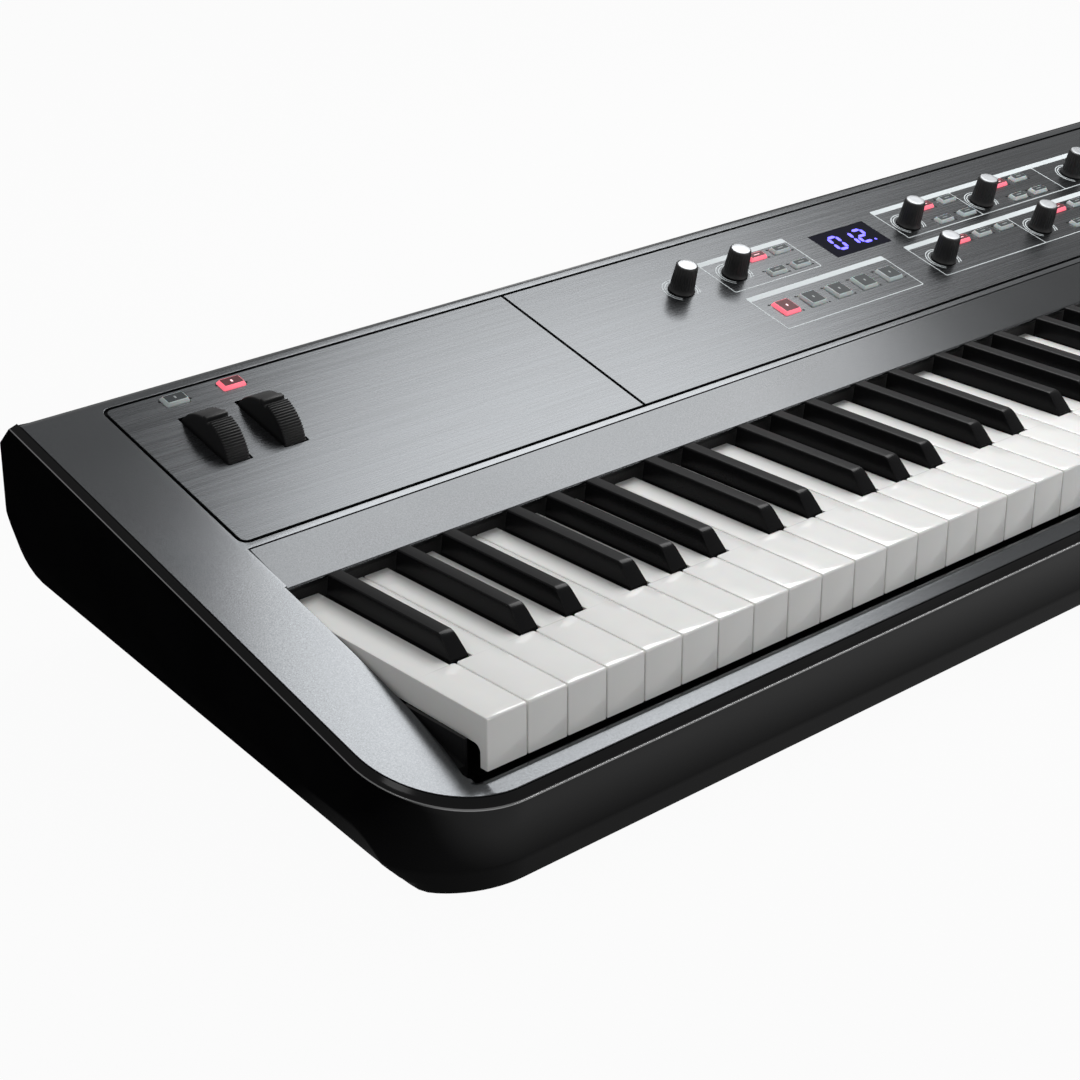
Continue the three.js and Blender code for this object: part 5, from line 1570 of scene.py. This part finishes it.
class PIANO_OT_display(bpy.types.Operator):
    """The display's smoked window with plain lit digits"""

    bl_idname = "piano.display"
    bl_label = "Display"

    def execute(self, context):
        colours = context.scene.piano_finishes
        low, high = panel_box("display_window")
        loops = []
        for _, draw in PANE_LEVELS:
            sides = (low[0] + draw, high[0] - draw, low[1] + draw, high[1] - draw)
            loops.append(rounded_rectangle(*sides, PANE_ROUND, 3))
        pane = stacked(loops, [z for z, _ in PANE_LEVELS])
        smoke = smoked_window(colours)
        piece("display_pane", pane, smoke, "case", TO_ROW, 30, ["display_window"])
        middle = np.array(panel_middle("display_window"))
        shells = []
        for place, digit in zip((-1, 0, 1), "012"):
            for letter in SEGMENTS[digit]:
                x, y = segment_outline(letter).T
                loop = np.column_stack([x + y * DIGIT_SLANT + place * DIGIT_PITCH, y]) + middle
                shells.append(plate_shell(loop, *DIGIT_LEVELS))
        point = middle + np.array([POINT_PLACE * DIGIT_PITCH, -DIGIT_HEIGHT / 2])
        shells.append(plate_shell(arc(*point, POINT_RADIUS, 0, 330, 11), *DIGIT_LEVELS))
        glow = lamp_ink("lamp_blue_violet", colours.display_light, 1.8)
        piece("display_digits", gathered(shells), glow, "case", TO_ROW)
        return {"FINISHED"}


LINE = 0.7 * MM
BAR = 4.4 * MM
SECTIONS = [
    # left, right, low and high along the panels and up the slope, and dividers, in millimetres
    (399.0, 474.5, 65.4, 101.0, []),
    (399.5, 520.5, 21.2, 57.8, []),
    (556.0, 804.5, 65.8, 101.0, [630.5, 717.5]),
    (543.0, 804.5, 21.8, 59.5, [642.0, 741.0]),
]
KNOB_ARCS = [(-141, 141, 9.9), (-141, 130, 11.5)]  # start and end in degrees from the top, radius in mm
SECTION_ROUND = (1.2 * MM, 0.8 * MM)  # outside and inside
PRINT_LOW = 0.01 * MM
SOCKET_PLACES = range(-2, 3)
SOCKET_PITCH = 22.0 * MM
SOCKET_STEPS = 40
SOCKET_SECTION = [  # radius and distance from the wall, in millimetres
    (3.3, -2), (4.3, -2), (4.3, 2.55), (5.9, 2.6), (5.9, 3.2), (5.4, 3.8), (3.7, 3.8), (3.3, 3.4),
]


def section_loops(left, right, low, high, dividers):
    """A printed section: its frame, and the fields inside it under a thick bar, parted by lines."""
    outside, inside = SECTION_ROUND
    loops = [rounded_rectangle(left, right, low, high, outside, 3)]
    edges = [left, *dividers, right]
    for a, b in zip(edges, edges[1:]):
        start = a + (LINE if a == left else LINE / 2)
        stop = b - (LINE if b == right else LINE / 2)
        loops.append(rounded_rectangle(start, stop, low + LINE, high - BAR, inside, 3))
    return loops


def ring_loop(x, up, radius, start, end):
    """A printed arc round a knob: two concentric arcs a line's width apart."""
    angles = (90 - end, 90 - start)
    outer = arc(x, up, radius + LINE / 2, *angles, 40)
    return np.concatenate([outer, arc(x, up, radius - LINE / 2, angles[1], angles[0], 40)])


def refinish(name, material):
    """Gives a node of the frame that stays its material."""
    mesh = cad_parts[name].data
    mesh.materials.clear()
    mesh.materials.append(material)


class PIANO_OT_prints(bpy.types.Operator):
    """Printed section frames and the arcs round the knobs"""

    bl_idname = "piano.prints"
    bl_label = "Prints"

    def execute(self, context):
        high = context.scene.piano_sizes.print_thickness
        ink = screen_print(context.scene.piano_finishes)
        prints = []
        for number, (*edges, dividers) in enumerate(SECTIONS, 1):
            loops = section_loops(*(v * MM for v in edges), [d * MM for d in dividers])
            prints.append((f"section_print_{number}", loops))
        for node in KNOBS:
            x, up = panel_middle(node)
            for number, (start, end, radius) in enumerate(KNOB_ARCS, 1):
                loop = ring_loop(x, up, radius * MM, start, end)
                prints.append((f"{node.replace('_knob', '')}_scale_{number}", [loop]))
        for name, loops in prints:
            piece(name, filled_outline(loops, PRINT_LOW, high), ink, "case", TO_ROW)
        return {"FINISHED"}


class PIANO_OT_jacks(bpy.types.Operator):
    """Nickel collars of the sockets in the rear wall, on the black jack panel"""

    bl_idname = "piano.jacks"
    bl_label = "Sockets"

    def execute(self, context):
        refinish("jack_panel", moulded_black(context.scene.piano_finishes))
        low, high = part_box("jack_panel")
        rings = turned(np.array(SOCKET_SECTION) * MM, SOCKET_STEPS)
        points, faces = skin(np.moveaxis(rings, 0, 1), True)
        collars = [(points + np.array([place * SOCKET_PITCH, 0, 0]), faces) for place in SOCKET_PLACES]
        lean = math.atan2(REAR_LEAN, REAR_WALL - LEAN_START)
        middle = Matrix.Translation(((low.x + high.x) / 2, low.y, (low.z + high.z) / 2))
        upright = middle @ Matrix.Rotation(math.pi / 2 + lean, 4, "X") @ Matrix.Rotation(math.pi, 4, "Y")
        piece("socket_collars", gathered(collars), nickel(), "case", upright, 30)
        return {"FINISHED"}


class PIANO_OT_inner(bpy.types.Operator):
    """Finishes of the frame's own nodes that stay: key bed, rest bar, bracket, board and feet"""

    bl_idname = "piano.inner"
    bl_label = "Inner pieces"

    def execute(self, context):
        feet = rubber()
        finishes = {n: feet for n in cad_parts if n.startswith("foot_")}
        finishes["keybed_frame"] = moulded_black(context.scene.piano_finishes)
        finishes["key_rest_bar"] = black_felt()
        finishes["wheel_bracket"] = zinc_steel()
        finishes["main_board"] = board_laminate()
        for name, material in finishes.items():
            refinish(name, material)
        return {"FINISHED"}


# Stage

# The photograph's camera, solved from the keyboard: its place, its right and up, and its lens on 36 mm
CAMERA_PLACE = (-1.17487, -0.82289, 0.56713)
CAMERA_RIGHT = (0.747969, -0.663725, -0.003334)
CAMERA_UP = (0.28175, 0.31295, 0.90702)
CAMERA_LENS = 78.27
LAMPS = [
    # name, place, turn in degrees about X and Z, width, length, watts
    ("softbox_above", (0.345, 0.34, 0.985), (0, 34), 1.09, 0.8, 14.2),
    ("strip_front", (0.85, -1.55, 0.6), (70, 28), 1.5, 0.14, 5.5),
    ("softbox_left", (-1.9, -0.6, 1.3), (51, -70), 0.8, 0.5, 2.8),
]
FLOOR_SIZE = 12.0
FLOOR_BOARD = 0.02
FLOOR_GLOW = 0.955  # the floor's own white where it shows, the rest is its shadow
FLOOR_SHADE = (-0.62, -0.4)  # FLOOR_SHADE = (-0.62, -0.4) # x less y where painted shade darkens the floor's mirror image by the left end, and lit
FLOOR_MIRRORED = (0.02, 0.85)  # its levels at these
FLOOR_NEAR = (-0.185, -0.215)  # FLOOR_NEAR = (-0.185, -0.215) # y where painted shade darkens it close to the front, and where it is lit
NEAR_SHARE = 0.3  # how much of its level is left there
GLOSSY_SHARE = 0.12  # metal and gloss show the white room at this level
ROOM_LEVEL = 0.36  # the room's light on the piano


def white_room_share(tree):
    """How far a ray shows the room as plain white: wholly to the camera and glass, partly in gloss."""
    path = add_node(tree, "ShaderNodeLightPath").outputs
    gloss = {0: path["Is Glossy Ray"], 1: GLOSSY_SHARE}
    glossy = add_node(tree, "ShaderNodeMath", gloss, operation="MULTIPLY").outputs[0]
    clear = {0: path["Is Camera Ray"], 1: path["Is Transmission Ray"]}
    seen = add_node(tree, "ShaderNodeMath", clear, operation="MAXIMUM").outputs[0]
    return add_node(tree, "ShaderNodeMath", {0: seen, 1: glossy}, operation="MAXIMUM").outputs[0]


def floor_paint():
    """Emulsion on board, rolled: a floor that camera and glass see nearly white, with its shadow.

    Glossy rays see its mirror image at a painted level of its own: painted shade by the left end and close to
    the front, lit in front of the keys.
    """
    made = Finish("emulsion_white_floor", linear("#949494"), 0.9)
    made.tint(made.clouds(40 * MM, 2), 0.985, 1)
    tree = made.tree
    gloss = add_node(tree, "ShaderNodeLightPath").outputs["Is Glossy Ray"]
    shown = {0: white_room_share(tree), 1: FLOOR_GLOW}
    seen = add_node(tree, "ShaderNodeMath", shown, operation="MULTIPLY").outputs[0]
    share = add_node(tree, "ShaderNodeMath", {0: seen, 1: gloss}, operation="MAXIMUM").outputs[0]
    along, forward, _ = add_node(tree, "ShaderNodeSeparateXYZ", {0: made.place}).outputs
    across = add_node(tree, "ShaderNodeMath", {0: along, 1: forward}, operation="SUBTRACT").outputs[0]
    lit = add_node(tree, "ShaderNodeMapRange", ranged(across, FLOOR_SHADE, FLOOR_MIRRORED)).outputs[0]
    near = add_node(tree, "ShaderNodeMapRange", ranged(forward, FLOOR_NEAR, (NEAR_SHARE, 1))).outputs[0]
    mirrored = add_node(tree, "ShaderNodeMath", {0: lit, 1: near}, operation="MULTIPLY").outputs[0]
    strength = add_node(tree, "ShaderNodeMix", {0: gloss, 2: 1.0, 3: mirrored}).outputs[0]
    glow = add_node(tree, "ShaderNodeEmission", {"Color": (1, 1, 1, 1), "Strength": strength}).outputs[0]
    mixed = add_node(tree, "ShaderNodeMixShader", {0: share, 1: made.shader.outputs[0], 2: glow}).outputs[0]
    output = next(n for n in tree.nodes if n.type == "OUTPUT_MATERIAL")
    tree.links.new(mixed, output.inputs["Surface"])
    return made.material


class PIANO_OT_stage(bpy.types.Operator):
    """Camera at the photograph's angle, white floor and soft studio light"""

    bl_idname = "piano.stage"
    bl_label = "Stage"

    def execute(self, context):
        scene = context.scene
        scene.view_settings.view_transform = "Standard"
        camera = added("camera", bpy.data.cameras.new("camera"))
        camera.data.sensor_width = 36
        camera.data.lens = CAMERA_LENS
        right, up = Vector(CAMERA_RIGHT), Vector(CAMERA_UP)
        back = right.cross(up)
        turn = Matrix((right, up, back)).transposed().to_4x4()
        camera.matrix_world = Matrix.Translation(CAMERA_PLACE) @ turn
        scene.camera = camera
        half = FLOOR_SIZE / 2
        floor = added("floor", new_mesh("floor", box_shell((-half, -half, -FLOOR_BOARD), (half, half, 0))))
        floor.data.materials.append(floor_paint())
        for name, place, (tilt, turn), width, long, watts in LAMPS:
            data = bpy.data.lights.new(name, "AREA")
            data.shape, data.size, data.size_y, data.energy = "ELLIPSE", width, long, watts
            lamp = added(name, data)
            lamp.location = place
            lamp.rotation_euler = (math.radians(tilt), 0, math.radians(turn))
        world = bpy.data.worlds.new("studio")
        scene.world = world
        world.use_nodes = True
        tree = world.node_tree
        background = next(n for n in tree.nodes if n.type == "BACKGROUND")
        room = ranged(white_room_share(tree), (0, 1), (ROOM_LEVEL, 1))
        level = add_node(tree, "ShaderNodeMapRange", room).outputs[0]
        tree.links.new(level, background.inputs["Strength"])
        background.inputs["Color"].default_value = (1, 1, 1, 1)
        return {"FINISHED"}


OPERATORS = [
    PIANO_OT_stage, PIANO_OT_case, PIANO_OT_cover, PIANO_OT_panels, PIANO_OT_naturals, PIANO_OT_sharps,
    PIANO_OT_wheels, PIANO_OT_buttons, PIANO_OT_knobs, PIANO_OT_display, PIANO_OT_prints, PIANO_OT_jacks,
    PIANO_OT_inner,
]


class PIANO_PT_sidebar(bpy.types.Panel):
    """Lists the piano's pieces, sizes and finishes"""

    bl_idname = "PIANO_PT_sidebar"
    bl_label = "Stage piano"
    bl_space_type = "VIEW_3D"
    bl_region_type = "UI"
    bl_category = "Stage piano"

    def draw(self, context):
        for operator in OPERATORS:
            self.layout.operator(operator.bl_idname)
        for group in (context.scene.piano_sizes, context.scene.piano_finishes):
            for name in type(group).__annotations__:
                self.layout.prop(group, name)


CLASSES = [PianoSizes, PianoFinishes, *OPERATORS, PIANO_PT_sidebar]


def register():
    for made in CLASSES:
        bpy.utils.register_class(made)
    bpy.types.Scene.piano_sizes = PointerProperty(type=PianoSizes)
    bpy.types.Scene.piano_finishes = PointerProperty(type=PianoFinishes)


def unregister():
    del bpy.types.Scene.piano_finishes
    del bpy.types.Scene.piano_sizes
    for made in reversed(CLASSES):
        bpy.utils.unregister_class(made)


def main():
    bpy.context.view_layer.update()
    register()
    for operator in OPERATORS:
        group, name = operator.bl_idname.split(".")
        getattr(getattr(bpy.ops, group), name)()


if __name__ == "__main__":
    main()
